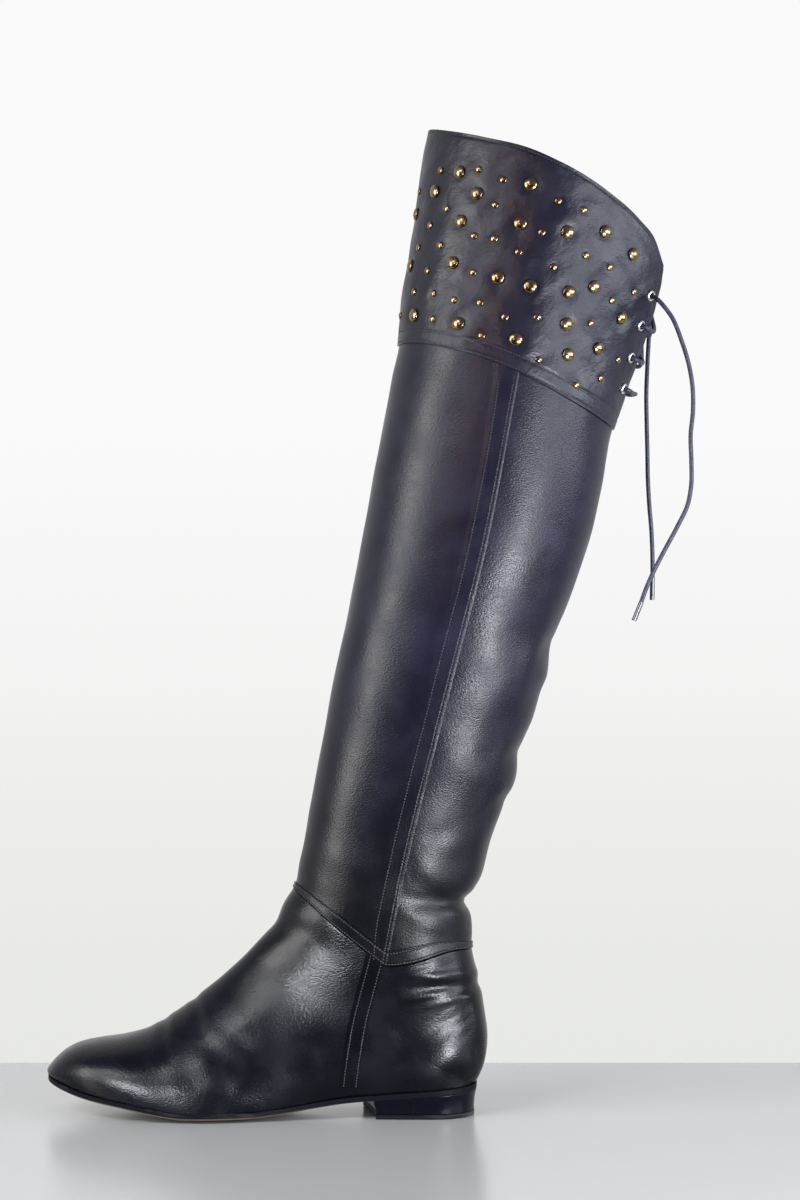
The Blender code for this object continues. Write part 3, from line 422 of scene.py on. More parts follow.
HEEL_END = float(len(FOOT_SECTIONS))
ANKLE_SEAM = HEEL_END + 5.0
CUFF_SEAM = HEEL_END + 22.0
RIM = HEEL_END + 26.0
SLIT_FOOT = CUFF_SEAM + 0.45
LAST_ROW = HEEL_END + len(LEG_SECTIONS) - 1.0
SLIT_HALF = 17.0
ANKLE_DIP = 1.6
ANKLE_BACK_BEND = 1.4
SEAM_FOOT = 0.51
FOLDS = [
    # from x, z to x, z seen from the side, half width, height, and how many of its ends fade out
    (25.0, 125.4, 4.0, 123.6, 3.6, -0.9, 1),
    (14.0, 123.6, -14.0, 130.5, 4.0, -1.1, 2),
    (28.0, 138.0, -6.0, 142.0, 7.0, 0.8, 2),
    (26.0, 113.0, -8.0, 115.0, 6.0, 0.5, 2),
    (32.0, 75.5, -18.0, 78.0, 3.4, -1.3, 1),
    (28.0, 83.0, -14.0, 85.0, 3.2, 0.6, 2),
    (30.0, 75.5, -28.0, 61.0, 1.8, -0.5, 1),
    (8.0, 90.2, -17.0, 87.2, 1.3, -0.3, 2),
    (16.0, 88.0, -15.0, 84.2, 1.3, -0.3, 2),
    (14.0, 84.6, -17.0, 81.6, 1.3, -0.25, 2),
    (29.0, 67.0, 2.0, 49.0, 1.5, -0.1, 2),
    (31.0, 61.0, 7.0, 44.0, 1.5, -0.1, 2),
    (33.0, 55.0, 12.0, 40.0, 1.5, -0.1, 2),
    (26.0, 71.0, -4.0, 54.0, 1.5, -0.1, 2),
    (32.0, 33.0, -16.0, 30.0, 11.0, 1.9, 2),
    (30.0, 62.0, -18.0, 56.0, 12.0, -0.7, 2),
    (76.0, 275.0, 59.0, 250.0, 4.5, -0.7, 1),
    (71.0, 242.0, 40.0, 232.0, 9.0, -1.6, 1),
    (80.0, 292.0, 73.0, 256.0, 4.0, -0.6, 2),
    (57.0, 211.0, 42.0, 199.0, 4.0, -0.6, 1),
    (49.5, 185.0, 33.0, 171.0, 4.0, -0.7, 1),
    (46.0, 166.0, 8.0, 162.0, 9.0, 0.5, 2),
    (22.0, 176.0, 4.0, 158.0, 6.0, -0.5, 2),
    (40.0, 226.0, 24.0, 214.0, 8.0, 0.35, 2),
    (-124.0, 48.0, -103.0, 16.0, 5.0, -0.55, 2),
    (-125.0, 66.0, -119.0, 34.0, 6.0, 0.4, 2),
    (-108.0, 52.0, -94.0, 20.0, 7.0, -0.4, 2),
    (-140.0, 50.0, -128.0, 18.0, 6.0, -0.3, 2),
    (-152.0, 54.0, -146.0, 32.0, 3.0, -0.5, 1),
    (-134.0, 66.0, -125.0, 46.0, 3.0, -0.5, 1),
    (-86.0, 114.0, -52.0, 98.0, 6.0, -0.7, 1),
    (-76.0, 134.0, -46.0, 120.0, 6.0, -0.6, 1),
]
SLACK = [
    # waves to the metre along x, y and z, start, height: how far the leather is from drawn tight
    (11.0, 4.0, 15.0, 0.3, 0.07),
    (-16.0, 9.0, 13.0, 1.7, 0.07),
    (21.0, -12.0, 8.0, 3.1, 0.06),
    (7.0, 14.0, 29.0, 4.4, 0.06),
    (-30.0, -8.0, 22.0, 5.2, 0.05),
]
FOLD_WANDER = 0.35
FOLD_BENDS = 5.0
FOLD_FADE = 0.7
SHOULDER_AT = 1.9
SHOULDER_WIDTH = 0.8
SHOULDER_SHARE = 0.3
PEBBLE_SHAPE = (0.8, 0.8, 1.4)
# Heights in metres over which painted shade darkens a leather towards its ankle colour.
ANKLE_PAINTED_SHADE = (0.1, 0.3)
BLACK = (0.0005, 0.0006, 0.0014)
RUBBED = (0.0012, 0.0013, 0.0026)
LINING_GREY = (0.085, 0.075, 0.065)


def feather_height(x):
    """Height of the lower edge of the upper, just above the sole."""
    half = sole_plan(x)[1]
    share = sole_plan(x, UPPER_INSET)[1] / np.maximum(half, 1e-6)
    return tread_height(x, share) + SOLE_THICK + FEATHER_GAP


def section_rows():
    """The two tables as one, with what the foot's rows take from the sole filled in."""
    rows = []
    for front_x, front_z, base_x, half, widest, front, back, ridge in FOOT_SECTIONS:
        if half == 0.0:
            half = float(sole_plan(base_x, UPPER_INSET)[1]) / FEATHER_TUCK
        rows.append((front_x, front_z, base_x, float(feather_height(base_x)),
                     half, widest, front, back, ridge))
    return rows + LEG_SECTIONS


sections = smooth_curve(range(len(FOOT_SECTIONS) + len(LEG_SECTIONS)), section_rows())


def slit_half(row):
    """Half the opening of the slit at the back of the cuff."""
    return SLIT_HALF * np.clip((row - SLIT_FOOT) / (RIM - SLIT_FOOT), 0.0, None) ** 0.5


def skin(row, turn):
    """Point of the boot's outside. Row is counted in the tables. Turn is 0 at the front of the
    section, -1 at its back or lower edge on the outer side, and 1 on the inner side."""
    row, turn = np.broadcast_arrays(np.asarray(row, float), np.asarray(turn, float))
    columns = np.moveaxis(sections(row), -1, 0)
    front_x, front_z, back_x, back_z, half, widest, front_n, back_n, ridge = columns
    on_sole = row < HEEL_END
    base_axis, base_half = sole_plan(back_x, UPPER_INSET)
    half = half + (base_half / FEATHER_TUCK - half) * (1 - ease(*FOLLOWS_SOLE, row))
    half = np.maximum(half, 1e-6)
    back_z = np.where(on_sole, feather_height(back_x), back_z)
    base_axis = np.where(on_sole, base_axis, 0.0)
    opening = np.where(on_sole, base_half, slit_half(row))
    tuck = np.clip(opening / half, 0.0, FEATHER_TUCK)
    last = np.pi - np.arcsin(tuck ** (back_n / 2))
    angle = np.abs(turn) * last
    front_part = angle <= np.pi / 2
    power = 2 / np.where(front_part, front_n, back_n)
    out = np.maximum(np.sin(angle), 0.0) ** power
    slope = np.abs(np.cos(angle)) ** power
    full = np.abs(np.cos(last)) ** (2 / back_n)
    share = np.where(front_part, widest * (1 - slope), widest + (1 - widest) * slope / full)
    middle = ridge + (base_axis - ridge) * share
    x = front_x + (back_x - front_x) * share
    z = front_z + (back_z - front_z) * share
    return np.stack([x, middle + np.sign(turn) * half * out, z], axis=-1)


def skin_normal(row, turn):
    """Outward direction of the boot's outside."""
    row, turn = np.broadcast_arrays(np.asarray(row, float), np.asarray(turn, float))
    step = 1e-3
    above = np.where(np.abs(row - SLIT_FOOT) < step, row, np.minimum(row + step, LAST_ROW))
    below = np.where(np.abs(row - HEEL_END) < step, row, np.maximum(row - step, TOE_TIP_ROW))
    up = skin(above, turn) - skin(below, turn)
    around = skin(row, np.minimum(turn + step, 1.0)) - skin(row, np.maximum(turn - step, -1.0))
    normal = np.cross(up, around)
    length = np.linalg.norm(normal, axis=-1, keepdims=True)
    return normal / np.maximum(length, 1e-12)


def fold_height(place):
    """Height of the folds and of the slack in the leather at places on the boot's outside."""
    x, z = place[..., 0], place[..., 2]
    height = np.zeros(x.shape)
    for x0, z0, x1, z1, width, tall, fading in FOLDS:
        run = math.hypot(x1 - x0, z1 - z0)
        ux, uz = (x1 - x0) / run, (z1 - z0) / run
        along = ((x - x0) * ux + (z - z0) * uz) / run
        off = (x - x0) * -uz + (z - z0) * ux
        beyond = np.maximum(np.maximum(-along, along - 1), 0.0) * run
        t = np.clip(along, 0.0, 1.0)
        fade = 1 - t ** 2 if fading == 1 else np.sin(np.pi * t) ** FOLD_FADE
        wander = off + width * FOLD_WANDER * np.sin(along * FOLD_BENDS + x0)
        middle = np.exp(-(wander / width) ** 2)
        shoulder = np.exp(-((np.abs(wander) - SHOULDER_AT * width) / (SHOULDER_WIDTH * width)) ** 2)
        form = middle - SHOULDER_SHARE * shoulder
        height += tall * form * fade * np.exp(-(beyond / width) ** 2)
    for across_x, across_y, across_z, start, tall in SLACK:
        phase = across_x * x + across_y * place[..., 1] + across_z * z
        height += tall * np.sin(phase * 2 * np.pi * MM + start)
    return height


def dressed(row, turn, raised=0.0, tip=False):
    """Places on the leather's outside, folds and all, raised above the skin, and which way is out."""
    place = skin(row, turn)
    normal = skin_normal(row, turn)
    if place.ndim == 3:
        even = np.cross(np.gradient(place, axis=0), np.gradient(place, axis=1))
        size = np.linalg.norm(even, axis=-1, keepdims=True)
        facing = np.sign(np.sum(even * normal, axis=-1).sum())
        normal = np.where(size > 1e-6, facing * even / np.maximum(size, 1e-12), normal)
        back = normal[:, 0] + normal[:, -1]
        back[:, 1] = 0.0
        back /= np.linalg.norm(back, axis=-1, keepdims=True)
        for r in np.flatnonzero(np.linalg.norm(place[:, 0] - place[:, -1], axis=-1) < BACK_WELD):
            normal[r, 0] = normal[r, -1] = back[r]
    if tip:
        normal[0] = TOE_TIP_OUTWARD
    return place + normal * (raised + fold_height(place))[..., None], normal


def even_rows(first, last, count, turns=(0.0, -0.5, -1.0), samples=600):
    """Rows from first to last that lie about equally far apart on the boot."""
    fine = np.linspace(first, last, samples)
    steps = np.mean([np.linalg.norm(np.diff(skin(fine, t), axis=0), axis=-1) for t in turns], axis=0)
    length = np.concatenate([[0.0], np.cumsum(steps + 1e-4)])
    return np.interp(np.linspace(0.0, length[-1], count), length, fine)


def both_sides(turns):
    """Turns of one side, given from the front, as a full round from back to back."""
    turns = np.asarray(turns, float)
    return np.concatenate([-turns[..., ::-1], turns[..., 1:]], axis=-1)


def leather_shell(rows, turns, raised=0.0, tip=False):
    """Sheet of leather over a grid of rows and turns, joined where it meets itself at the back."""
    place, normal = dressed(rows, turns, raised, tip)
    count, width = rows.shape
    form = bmesh.new()
    bmesh.ops.create_grid(form, x_segments=width - 1, y_segments=count - 1, size=1.0)
    for vert, point in zip(form.verts, (place * MM).reshape(-1, 3)):
        vert.co = point
    rim = [vert for vert in form.verts if vert.is_boundary]
    bmesh.ops.remove_doubles(form, verts=rim, dist=BACK_WELD * MM)
    form.normal_update()
    form.faces.ensure_lookup_table()
    face = form.faces[(count // 2) * (width - 1) + width // 4]
    nearest = np.argmin(np.linalg.norm(place.reshape(-1, 3) * MM - face.calc_center_median(), axis=-1))
    if face.normal.dot(Vector(normal.reshape(-1, 3)[nearest])) < 0:
        bmesh.ops.reverse_faces(form, faces=form.faces[:])
    return form


def thicken(piece, thick, rim=0.5):
    """Gives a sheet of leather its thickness inwards, with a lining, and rounds its cut edges."""
    wall = piece.modifiers.new("wall", "SOLIDIFY")
    wall.thickness = thick * MM
    wall.offset = -1.0
    wall.material_offset = 1
    wall.material_offset_rim = 0
    return round_edges(piece, rim, segments=3, angle=55.0)


def back_share(turn):
    """How far back a turn lies on a closed section, from 0 at the front to 1 at the back."""
    return (1 - np.cos(np.pi * np.abs(turn))) / 2


def ankle_dip(turn):
    """How far the ankle seam dips at the sides: a V with straight legs."""
    share = back_share(turn)
    foot = back_share(SEAM_FOOT)
    return ANKLE_DIP * np.minimum(share / foot, ((1 - share) / (1 - foot)) ** ANKLE_BACK_BEND)


def weighted(tree, source, weight, base=None):
    """Source times a weight, on top of a base."""
    node = tree.nodes.new("ShaderNodeMath")
    node.operation = "MULTIPLY_ADD"
    node.inputs[1].default_value = weight
    node.inputs[2].default_value = 0.0
    tree.links.new(source, node.inputs[0])
    if base:
        tree.links.new(base, node.inputs[2])
    return node.outputs["Value"]


def leather_finish(name, colour, pale, roughness, gloss, grain, grain_depth, dimple_depth, ankle=None):
    """Black leather: pebbled grain, finer pores, shallow dimples, a finish duller in patches, and, if an
    ankle colour is given, painted shade darkening it towards the ankle.
    """
    material, tree, shader = new_material(name, colour, roughness)
    shader.inputs["Specular IOR Level"].default_value = gloss
    place = tree.nodes.new("ShaderNodeTexCoord")
    flatter = tree.nodes.new("ShaderNodeMapping")
    flatter.inputs["Scale"].default_value = PEBBLE_SHAPE
    pebbles = tree.nodes.new("ShaderNodeTexVoronoi")
    pebbles.feature = "SMOOTH_F1"
    pebbles.inputs["Scale"].default_value = grain
    pebbles.inputs["Smoothness"].default_value = 0.5
    tree.links.new(place.outputs["Object"], flatter.inputs["Vector"])
    tree.links.new(flatter.outputs["Vector"], pebbles.inputs["Vector"])
    cloud = noise(tree, scale=55.0, detail=4.0)
    shade = blend(tree, spread(tree, cloud, 0.35, 0.75), colour, pale)
    # Painted shade: the colour darkens to the ankle colour low on the leg, where the light falls off.
    if ankle:
        axes = tree.nodes.new("ShaderNodeSeparateXYZ")
        tree.links.new(place.outputs["Object"], axes.inputs["Vector"])
        shade = blend(tree, spread(tree, axes.outputs["Z"], *ANKLE_PAINTED_SHADE), ankle, shade)
    tree.links.new(shade, shader.inputs["Base Color"])
    rough = spread(tree, cloud, 0.3, 0.7, start=roughness - 0.04, stop=roughness + 0.06)
    tree.links.new(rough, shader.inputs["Roughness"])
    raised = weighted(tree, noise(tree, scale=85.0, detail=5.0), dimple_depth)
    raised = weighted(tree, noise(tree, grain, 3.0, PEBBLE_SHAPE), grain_depth, raised)
    raised = weighted(tree, pebbles.outputs["Distance"], -grain_depth, raised)
    bump(tree, shader, raised, distance=1.0)
    return material


foot_black = leather_finish("foot_leather", BLACK, RUBBED, roughness=0.26, gloss=0.17, grain=1000.0,
                            grain_depth=0.075, dimple_depth=0.06)
lining, tree, shader = new_material("boot_lining", LINING_GREY, roughness=0.8)
bump(tree, shader, noise(tree, scale=1200.0, detail=3.0), distance=0.15, strength=0.5)
upper_turns = both_sides(np.linspace(0.0, 1.0, UPPER_SIDE))
toe_rows = even_rows(0.0, HEEL_END - SOLE_END_GAP, TOE_ROWS)
to_ankle = np.linspace(0.0, 1.0, ANKLE_ROWS)[:, None]
above_sole = HEEL_END + (ANKLE_SEAM - ankle_dip(upper_turns) - HEEL_END) * to_ankle
upper_rows = np.concatenate([np.repeat(toe_rows[:, None], len(upper_turns), axis=1), above_sole])
upper_form = leather_shell(upper_rows, np.broadcast_to(upper_turns, upper_rows.shape), tip=True)
upper = add_piece("foot_upper", upper_form, [foot_black, lining], ("upper",), LEATHER_SHARP)
thicken(upper, UPPER_WALL)

# Side seam of the foot: the vamp's edge laps over the quarter from the ankle to the sole, a raised
# strip with a row of small stitches along its back edge and one in front, one seam on each side.
FOOT_SEAM_HIGH = 0.2
FOOT_SEAM_LEAN = math.radians(12.0)
FOOT_SEAM_STEPS = 70
UNDER_BAND_SLOPE = 0.8
UNDER_BAND_LEAN = 0.25
LAP_WIDTH = 13.0
LAP_RAMP = (-12.8, -9.2)
LAP_EDGE = 0.1
LAP_ROLL = [0.1, 0.35]
LAP_SINK = 0.06
LAP_TUCK = 0.3
LAP_SHARP = 35.0
QUARTER_ROWS = (8.5, ANKLE_SEAM)
FOOT_SEAM = [
    # x, z
    (-22.2, 90.6),
    (-23.4, 86.0),
    (-25.6, 78.0),
    (-27.8, 69.5),
    (-30.0, 61.0),
    (-31.9, 52.0),
    (-33.4, 43.0),
    (-34.8, 34.0),
    (-35.9, 26.0),
    (-36.8, 18.5),
]
SEAM_STITCHES = (-8.7, -1.7)
SEAM_COLUMNS = [-13.0, -12.4, -11.8, -11.1, -10.4, -9.8, -9.4, -9.05, -8.7, -8.35, -8.0, -7.6, -7.0, -6.2,
                -5.2, -4.2, -3.4, -2.8, -2.4, -2.05, -1.7, -1.35, -1.0, -0.6, -0.2, 0.05]
STITCH_LENGTH = 1.2
STITCH_STEP = 1.75
STITCH_THICK = 0.8
STITCH_FLAT = 0.8
STITCH_REACH = 0.8
STITCH_SINK = 0.02
STITCH_WELD = 0.001
RIDGE_HIGH, RIDGE_WIDTH = 0.12, 1.0
GROOVE_DEEP, GROOVE_WIDTH = 0.2, 0.35
SEARCH_STEPS = 70
SEARCH_SHARE = 0.6
SEARCH_ROWS = 0.3
SEARCH_TURNS = 0.05
SIDE_TURNS = (0.02, 0.985)


def on_side(x, z, side, rows):
    """Row and turn of the boot's outside at places seen from the side, -1 outer and 1 inner."""
    x, z = np.broadcast_arrays(np.asarray(x, float), np.asarray(z, float))
    row = np.full(x.shape, sum(rows) / 2)
    turn = np.full(x.shape, 0.5)
    step = 1e-3
    for _ in range(SEARCH_STEPS):
        here = skin(row, side * turn)
        upper, lower = np.minimum(row + step, rows[1]), np.maximum(row - step, rows[0])
        by_row = (skin(upper, side * turn) - skin(lower, side * turn)) / (upper - lower)[..., None]
        by_turn = (skin(row, side * (turn + step)) - here) / step
        far_x, far_z = x - here[..., 0], z - here[..., 2]
        area = by_row[..., 0] * by_turn[..., 2] - by_turn[..., 0] * by_row[..., 2]
        area = np.where(np.abs(area) < 1e-6, 1e-6, area)
        row_move = (far_x * by_turn[..., 2] - by_turn[..., 0] * far_z) / area
        turn_move = (by_row[..., 0] * far_z - far_x * by_row[..., 2]) / area
        row = np.clip(row + np.clip(SEARCH_SHARE * row_move, -SEARCH_ROWS, SEARCH_ROWS), *rows)
        turn = turn + np.clip(SEARCH_SHARE * turn_move, -SEARCH_TURNS, SEARCH_TURNS)
        turn = np.clip(turn, *SIDE_TURNS)
    return row, side * turn


def lap_height(off, high):
    """Height of a lapped edge: off is how far behind the edge a place lies, in millimetres."""
    lines = sum(RIDGE_HIGH * np.exp(-((off - row) / RIDGE_WIDTH) ** 2)
                - GROOVE_DEEP * np.exp(-((off - row) / GROOVE_WIDTH) ** 2) for row in SEAM_STITCHES)
    return np.where(off < LAP_EDGE, high * ease(*LAP_RAMP, off) + lines, 0.0)


def joined(name, shapes, corners, materials, nodes=(), sharp=50.0):
    """One piece from many copies of a shape: places of each copy, and the faces of one."""
    count = len(shapes[0])
    faces = [[corner + i * count for corner in face] for i in range(len(shapes)) for face in corners]
    mesh = bpy.data.meshes.new(name)
    mesh.from_pydata(np.concatenate(shapes) * MM, [], faces)
    form = bmesh.new()
    form.from_mesh(mesh)
    bpy.data.meshes.remove(mesh)
    bmesh.ops.remove_doubles(form, verts=form.verts[:], dist=STITCH_WELD * MM)
    return add_piece(name, form, materials, nodes, sharp)


def shape_of(form):
    """Places and faces of a bmesh, which is then let go."""
    form.verts.index_update()
    places = np.array([vert.co[:] for vert in form.verts])
    corners = [[vert.index for vert in face.verts] for face in form.faces]
    form.free()
    return places, corners


def stitch_rows(name, lines, material):
    """Rows of stitches, each line a set of places and outward directions, as one joined mesh."""
    one = bmesh.new()
    bmesh.ops.create_uvsphere(one, u_segments=6, v_segments=5, radius=0.5)
    bmesh.ops.rotate(one, verts=one.verts[:], matrix=Matrix.Rotation(math.pi / 2, 3, "Y"))
    shape, corners = shape_of(one)
    shape = shape * (STITCH_LENGTH, STITCH_THICK, STITCH_THICK * STITCH_FLAT)
    places = []
    for place, normal in lines:
        length = np.concatenate([[0.0], np.cumsum(np.linalg.norm(np.diff(place, axis=0), axis=-1))])
        spots = np.arange(STITCH_STEP / 2, length[-1], STITCH_STEP)
        for spot in spots:
            front, rear = spot - STITCH_REACH, spot + STITCH_REACH
            here, before, after, out = (
                np.array([np.interp(at, length, values[:, i]) for i in range(3)])
                for at, values in ((spot, place), (front, place), (rear, place), (spot, normal)))
            along = (after - before) / np.linalg.norm(after - before)
            across = np.cross(out, along)
            across /= np.linalg.norm(across)
            axes = np.stack([along, across, np.cross(along, across)])
            places.append(here + shape @ axes)
    return joined(name, places, corners, [material], sharp=90.0)


thread, tree, shader = new_material("seam_thread", (0.013, 0.013, 0.019), roughness=0.5)
bump(tree, shader, noise(tree, scale=2400.0), distance=0.1, strength=0.6)
foot_line = smooth_curve([-z for x, z in FOOT_SEAM], [[x] for x, z in FOOT_SEAM])
down = np.linspace(0.0, 1.0, FOOT_SEAM_STEPS)[:, None]
seam_top, seam_low = FOOT_SEAM[0][1], FOOT_SEAM[-1][1]


def seam_places(offsets):
    """Places seen from the side at distances behind the foot seam's edge, from the ankle band down."""
    top = seam_top + UNDER_BAND_SLOPE * np.clip(-offsets, 0.0, LAP_WIDTH)
    z = top + (seam_low - top) * down
    on_line = np.minimum(z, seam_top)
    x = foot_line(-on_line)[..., 0] + (z - on_line) * UNDER_BAND_LEAN
    return x + offsets / math.cos(FOOT_SEAM_LEAN), z


def stitch_height(off, high):
    """Height of a row of stitches on a lapped edge."""
    return float(lap_height(np.float64(off), high)) - STITCH_SINK


foot_stitches = []
for side, name in ((-1.0, "outer"), (1.0, "inner")):
    offsets = np.array(SEAM_COLUMNS + LAP_ROLL)
    rows, turns = on_side(*seam_places(offsets), side, QUARTER_ROWS)
    high = lap_height(offsets, FOOT_SEAM_HIGH) - LAP_SINK
    high[-1] = -LAP_TUCK
    strip = leather_shell(rows, turns, np.broadcast_to(high, rows.shape))
    add_piece(f"foot_seam_lap_{name}", strip, [foot_black], (f"foot_seam_{name}",),
              LAP_SHARP)
    for off in SEAM_STITCHES:
        x, z = seam_places(np.array([off]))
        rows, turns = on_side(x[:, 0], z[:, 0], side, QUARTER_ROWS)
        foot_stitches.append(dressed(rows, turns, stitch_height(off, FOOT_SEAM_HIGH)))
stitch_rows("foot_seam_stitches", foot_stitches, thread)

# Shaft: the leg tube of the same leather. The front panel laps over the back panel along a side seam
# and a stitched band closes its lower edge in a V over the foot, where the ankle has creased deeply.
BAND_ROWS = 0.62
BAND_END_SHARE = 0.57
BAND_HIGH = 0.8
BAND_STEP = 0.03
BAND_STITCHES = (0.09, 0.53)
BAND_STITCH_SINK = 0.1
BAND_GROOVE_DEEP, BAND_GROOVE_WIDTH = 0.25, 0.035
BAND_LAP_SHARE = 0.5
ABOVE_BAND = 0.66
ANKLE_FADE = 3.5
BUTT_ROWS = 0.035
CUFF_SEAM_RISE = 0.3
CUFF_SEAM_LEAN = 0.75
SEAM_HIGH = 0.35
SEAM_ROWS = (ANKLE_SEAM - 2.5, CUFF_SEAM + 0.6)
SEAM_STEPS = 90
BEHIND_SEAM = [0.4, 1.0, 2.0]
FAR_OFF = 20.0
BAND_ROLL = 0.09
CUFF_OVERLAP = 0.02
CUFF_FADE = 1.2
STITCH_MARGIN = 0.05
ROUND_STEPS = 400
SEAM_EDGE = [
    # x, z of the side seam's back edge seen from the side, from the ankle up
    (-21.9, 88.5),
    (-10.7, 144.4),
    (12.5, 239.0),
    (36.4, 334.2),
    (53.9, 427.5),
]
SHAFT_ROWS = 150
FRONT_COLUMNS = 44
BACK_COLUMNS = 44
NAVY = (0.0040, 0.0040, 0.0105)
edge_line = smooth_curve([z for x, z in SEAM_EDGE], [[x] for x, z in SEAM_EDGE])
edge_z = np.linspace(SEAM_EDGE[0][1], SEAM_EDGE[-1][1], SEAM_STEPS)
edge_rows, edge_turns = on_side(edge_line(edge_z)[:, 0], edge_z, -1.0, SEAM_ROWS)


def band_share(turn):
    """Height of the ankle band as a share of its height at the V, less to the front and back."""
    return BAND_END_SHARE + (1 - BAND_END_SHARE) * ankle_dip(turn) / ANKLE_DIP


def cuff_seam(turn):
    """Row of the cuff's lower edge, raised at the sides."""
    return CUFF_SEAM + CUFF_SEAM_RISE * np.sin(np.pi * back_share(turn) ** CUFF_SEAM_LEAN)


def shaft_row(height, turn):
    """Row of the boot at a height above the ankle seam, both counted in rows."""
    share = band_share(turn)
    top = BAND_ROWS + BAND_STEP
    above = top * share + (height - top) * (ANKLE_FADE - top * share) / (ANKLE_FADE - top)
    rise = np.where(height < top, height * share, np.where(height < ANKLE_FADE, above, height))
    fade = np.clip((height - top) / (ANKLE_FADE - top), 0.0, 1.0)
    return ANKLE_SEAM + BUTT_ROWS + rise - ankle_dip(turn) * (1 - fade)


def seam_line(height):
    """Turn of the side seam's back edge at a height above the ankle seam."""
    turn = np.full(np.shape(height), SEAM_FOOT)
    for _ in range(12):
        turn = np.interp(shaft_row(height, turn), edge_rows, -edge_turns)
    return turn


def turn_of(row, turn, off):
    """Turn that lies so many millimetres behind another on the same row."""
    step = 0.01
    width = np.linalg.norm(skin(row, turn + step) - skin(row, turn - step), axis=-1) / (2 * step)
    return turn + off / width


top_height = CUFF_SEAM - ANKLE_SEAM
band_heights = np.concatenate([np.linspace(0.0, 0.15, 6), np.linspace(0.18, 0.44, 5),
                               np.linspace(0.47, BAND_ROWS, 6), [BAND_ROWS + 0.012]])
above_band = even_rows(ANKLE_SEAM + ABOVE_BAND, CUFF_SEAM, SHAFT_ROWS, (0.0, -1.0)) - ANKLE_SEAM
heights = np.concatenate([band_heights, above_band])
edges = seam_line(heights)
seam_offsets = np.array(SEAM_COLUMNS + BEHIND_SEAM)
level_row = shaft_row(heights, edges)
packed = turn_of(level_row[:, None], edges[:, None], seam_offsets)
before = packed[:, :1] * np.linspace(0.0, 1.0, FRONT_COLUMNS + 1)[:-1]
after = packed[:, -1:] + (1 - packed[:, -1:]) * np.linspace(0.0, 1.0, BACK_COLUMNS + 1)[1:]
shaft_turns = both_sides(np.concatenate([before, packed, after], axis=1))
shaft_rows = shaft_row(heights[:, None], shaft_turns)
top_blend = ease(top_height - CUFF_FADE, top_height, heights)[:, None]
shaft_rows = shaft_rows + (cuff_seam(shaft_turns) + CUFF_OVERLAP - CUFF_SEAM - BUTT_ROWS) * top_blend
off_edge = np.concatenate([np.full(FRONT_COLUMNS, -FAR_OFF), seam_offsets, np.full(BACK_COLUMNS, FAR_OFF)])
lapped = both_sides(lap_height(np.broadcast_to(off_edge, (len(heights), len(off_edge))), SEAM_HIGH))
lapped[:, :len(off_edge) - 1] = lapped[:, :len(off_edge) - 1:-1]
band_sunk = sum(BAND_GROOVE_DEEP * np.exp(-((heights - line) / BAND_GROOVE_WIDTH) ** 2)
                for line in BAND_STITCHES)
rolled = np.sqrt(1 - np.clip(1 - heights / BAND_ROLL, 0.0, 1.0) ** 2)
on_band = (BAND_HIGH - band_sunk) * rolled * (heights <= BAND_ROWS)
lap_share = np.where(heights <= BAND_ROWS, BAND_LAP_SHARE, 1.0)
shaft_raised = on_band[:, None] + lapped * lap_share[:, None]
shaft_form = leather_shell(shaft_rows, shaft_turns, shaft_raised)
# The shaft's colour darkens towards the ankle: painted shade where the light falls off low on the leg.
boot_black = leather_finish("shaft_leather", NAVY, pale=(0.0065, 0.0065, 0.0165), roughness=0.34, gloss=0.22,
                            grain=1050.0, grain_depth=0.09, dimple_depth=0.11, ankle=BLACK)
shaft = add_piece("leg_shaft", shaft_form, [boot_black, lining], ("shaft",), LEATHER_SHARP)
thicken(shaft, UPPER_WALL)

shaft_stitches = []
for side in (-1.0, 1.0):
    rise = heights[(heights > STITCH_MARGIN) & (heights < top_height - STITCH_MARGIN)]
    for off in SEAM_STITCHES:
        edge = seam_line(rise)
        rows = shaft_row(rise, edge)
        turns = turn_of(rows, edge, off)
        high = stitch_height(off, SEAM_HIGH)
        high = np.where(rise <= BAND_ROWS, BAND_HIGH + BAND_LAP_SHARE * high, high)
        shaft_stitches.append(dressed(rows, side * turns, high))
around = np.linspace(-1.0, 1.0, ROUND_STEPS)
for height in BAND_STITCHES:
    rows = shaft_row(np.full(around.shape, height), around)
    shaft_stitches.append(dressed(rows, around, BAND_HIGH - BAND_STITCH_SINK))
stitch_rows("shaft_stitches", shaft_stitches, thread)

# Cuff: a flared band of smoother, glossier leather sewn over the top of the shaft with two rows of
# stitches, and one more along its rim. It is high in front and low at the back, where a slit with
# rounded corners opens it for the lace.
CUFF_LAP = 1.2
CUFF_WALL = 2.0
CUFF_EDGE_ROUND = 0.6
CUFF_COUNT = 86
CUFF_ROWS = (CUFF_SEAM, LAST_ROW - 0.1)
CUFF_STITCHES = (0.012, 0.075, 0.982)
CUFF_STITCH_ENDS = 0.985
CUFF_STITCH_STEPS = 500
CUFF_GROOVE_DEEP, CUFF_GROOVE_WIDTH = 0.3, 0.008
CALM_AT_SEAM = (0.1, 0.5)
CALM_AT_RIM = (0.05, 0.4)
SLIT_TURN = 0.97
SLIT_STITCHES = (0.16, 0.97)
SLIT_STITCH_STEPS = 80
SLIT_MARGIN = 2.2
RIM_LINE = [
    # turn, rows above the rim's own row
    (0.0, 0.0),
    (0.2, 0.07),
    (0.35, 0.26),
    (0.5, 0.53),
    (0.62, 0.6),
    (0.76, 0.59),
    (0.88, 0.41),
    (0.95, 0.12),
    (1.0, -0.5),
]
EYELETS = [
    # x, z, seen from the side, top one first
    (131.0, 476.6),
    (125.6, 459.3),
    (119.8, 441.0),
    (116.0, 423.3),
]
EYELET_BORE = 2.6
STUD_RADIUS = 3.7
SMALL_SHARE = 0.56
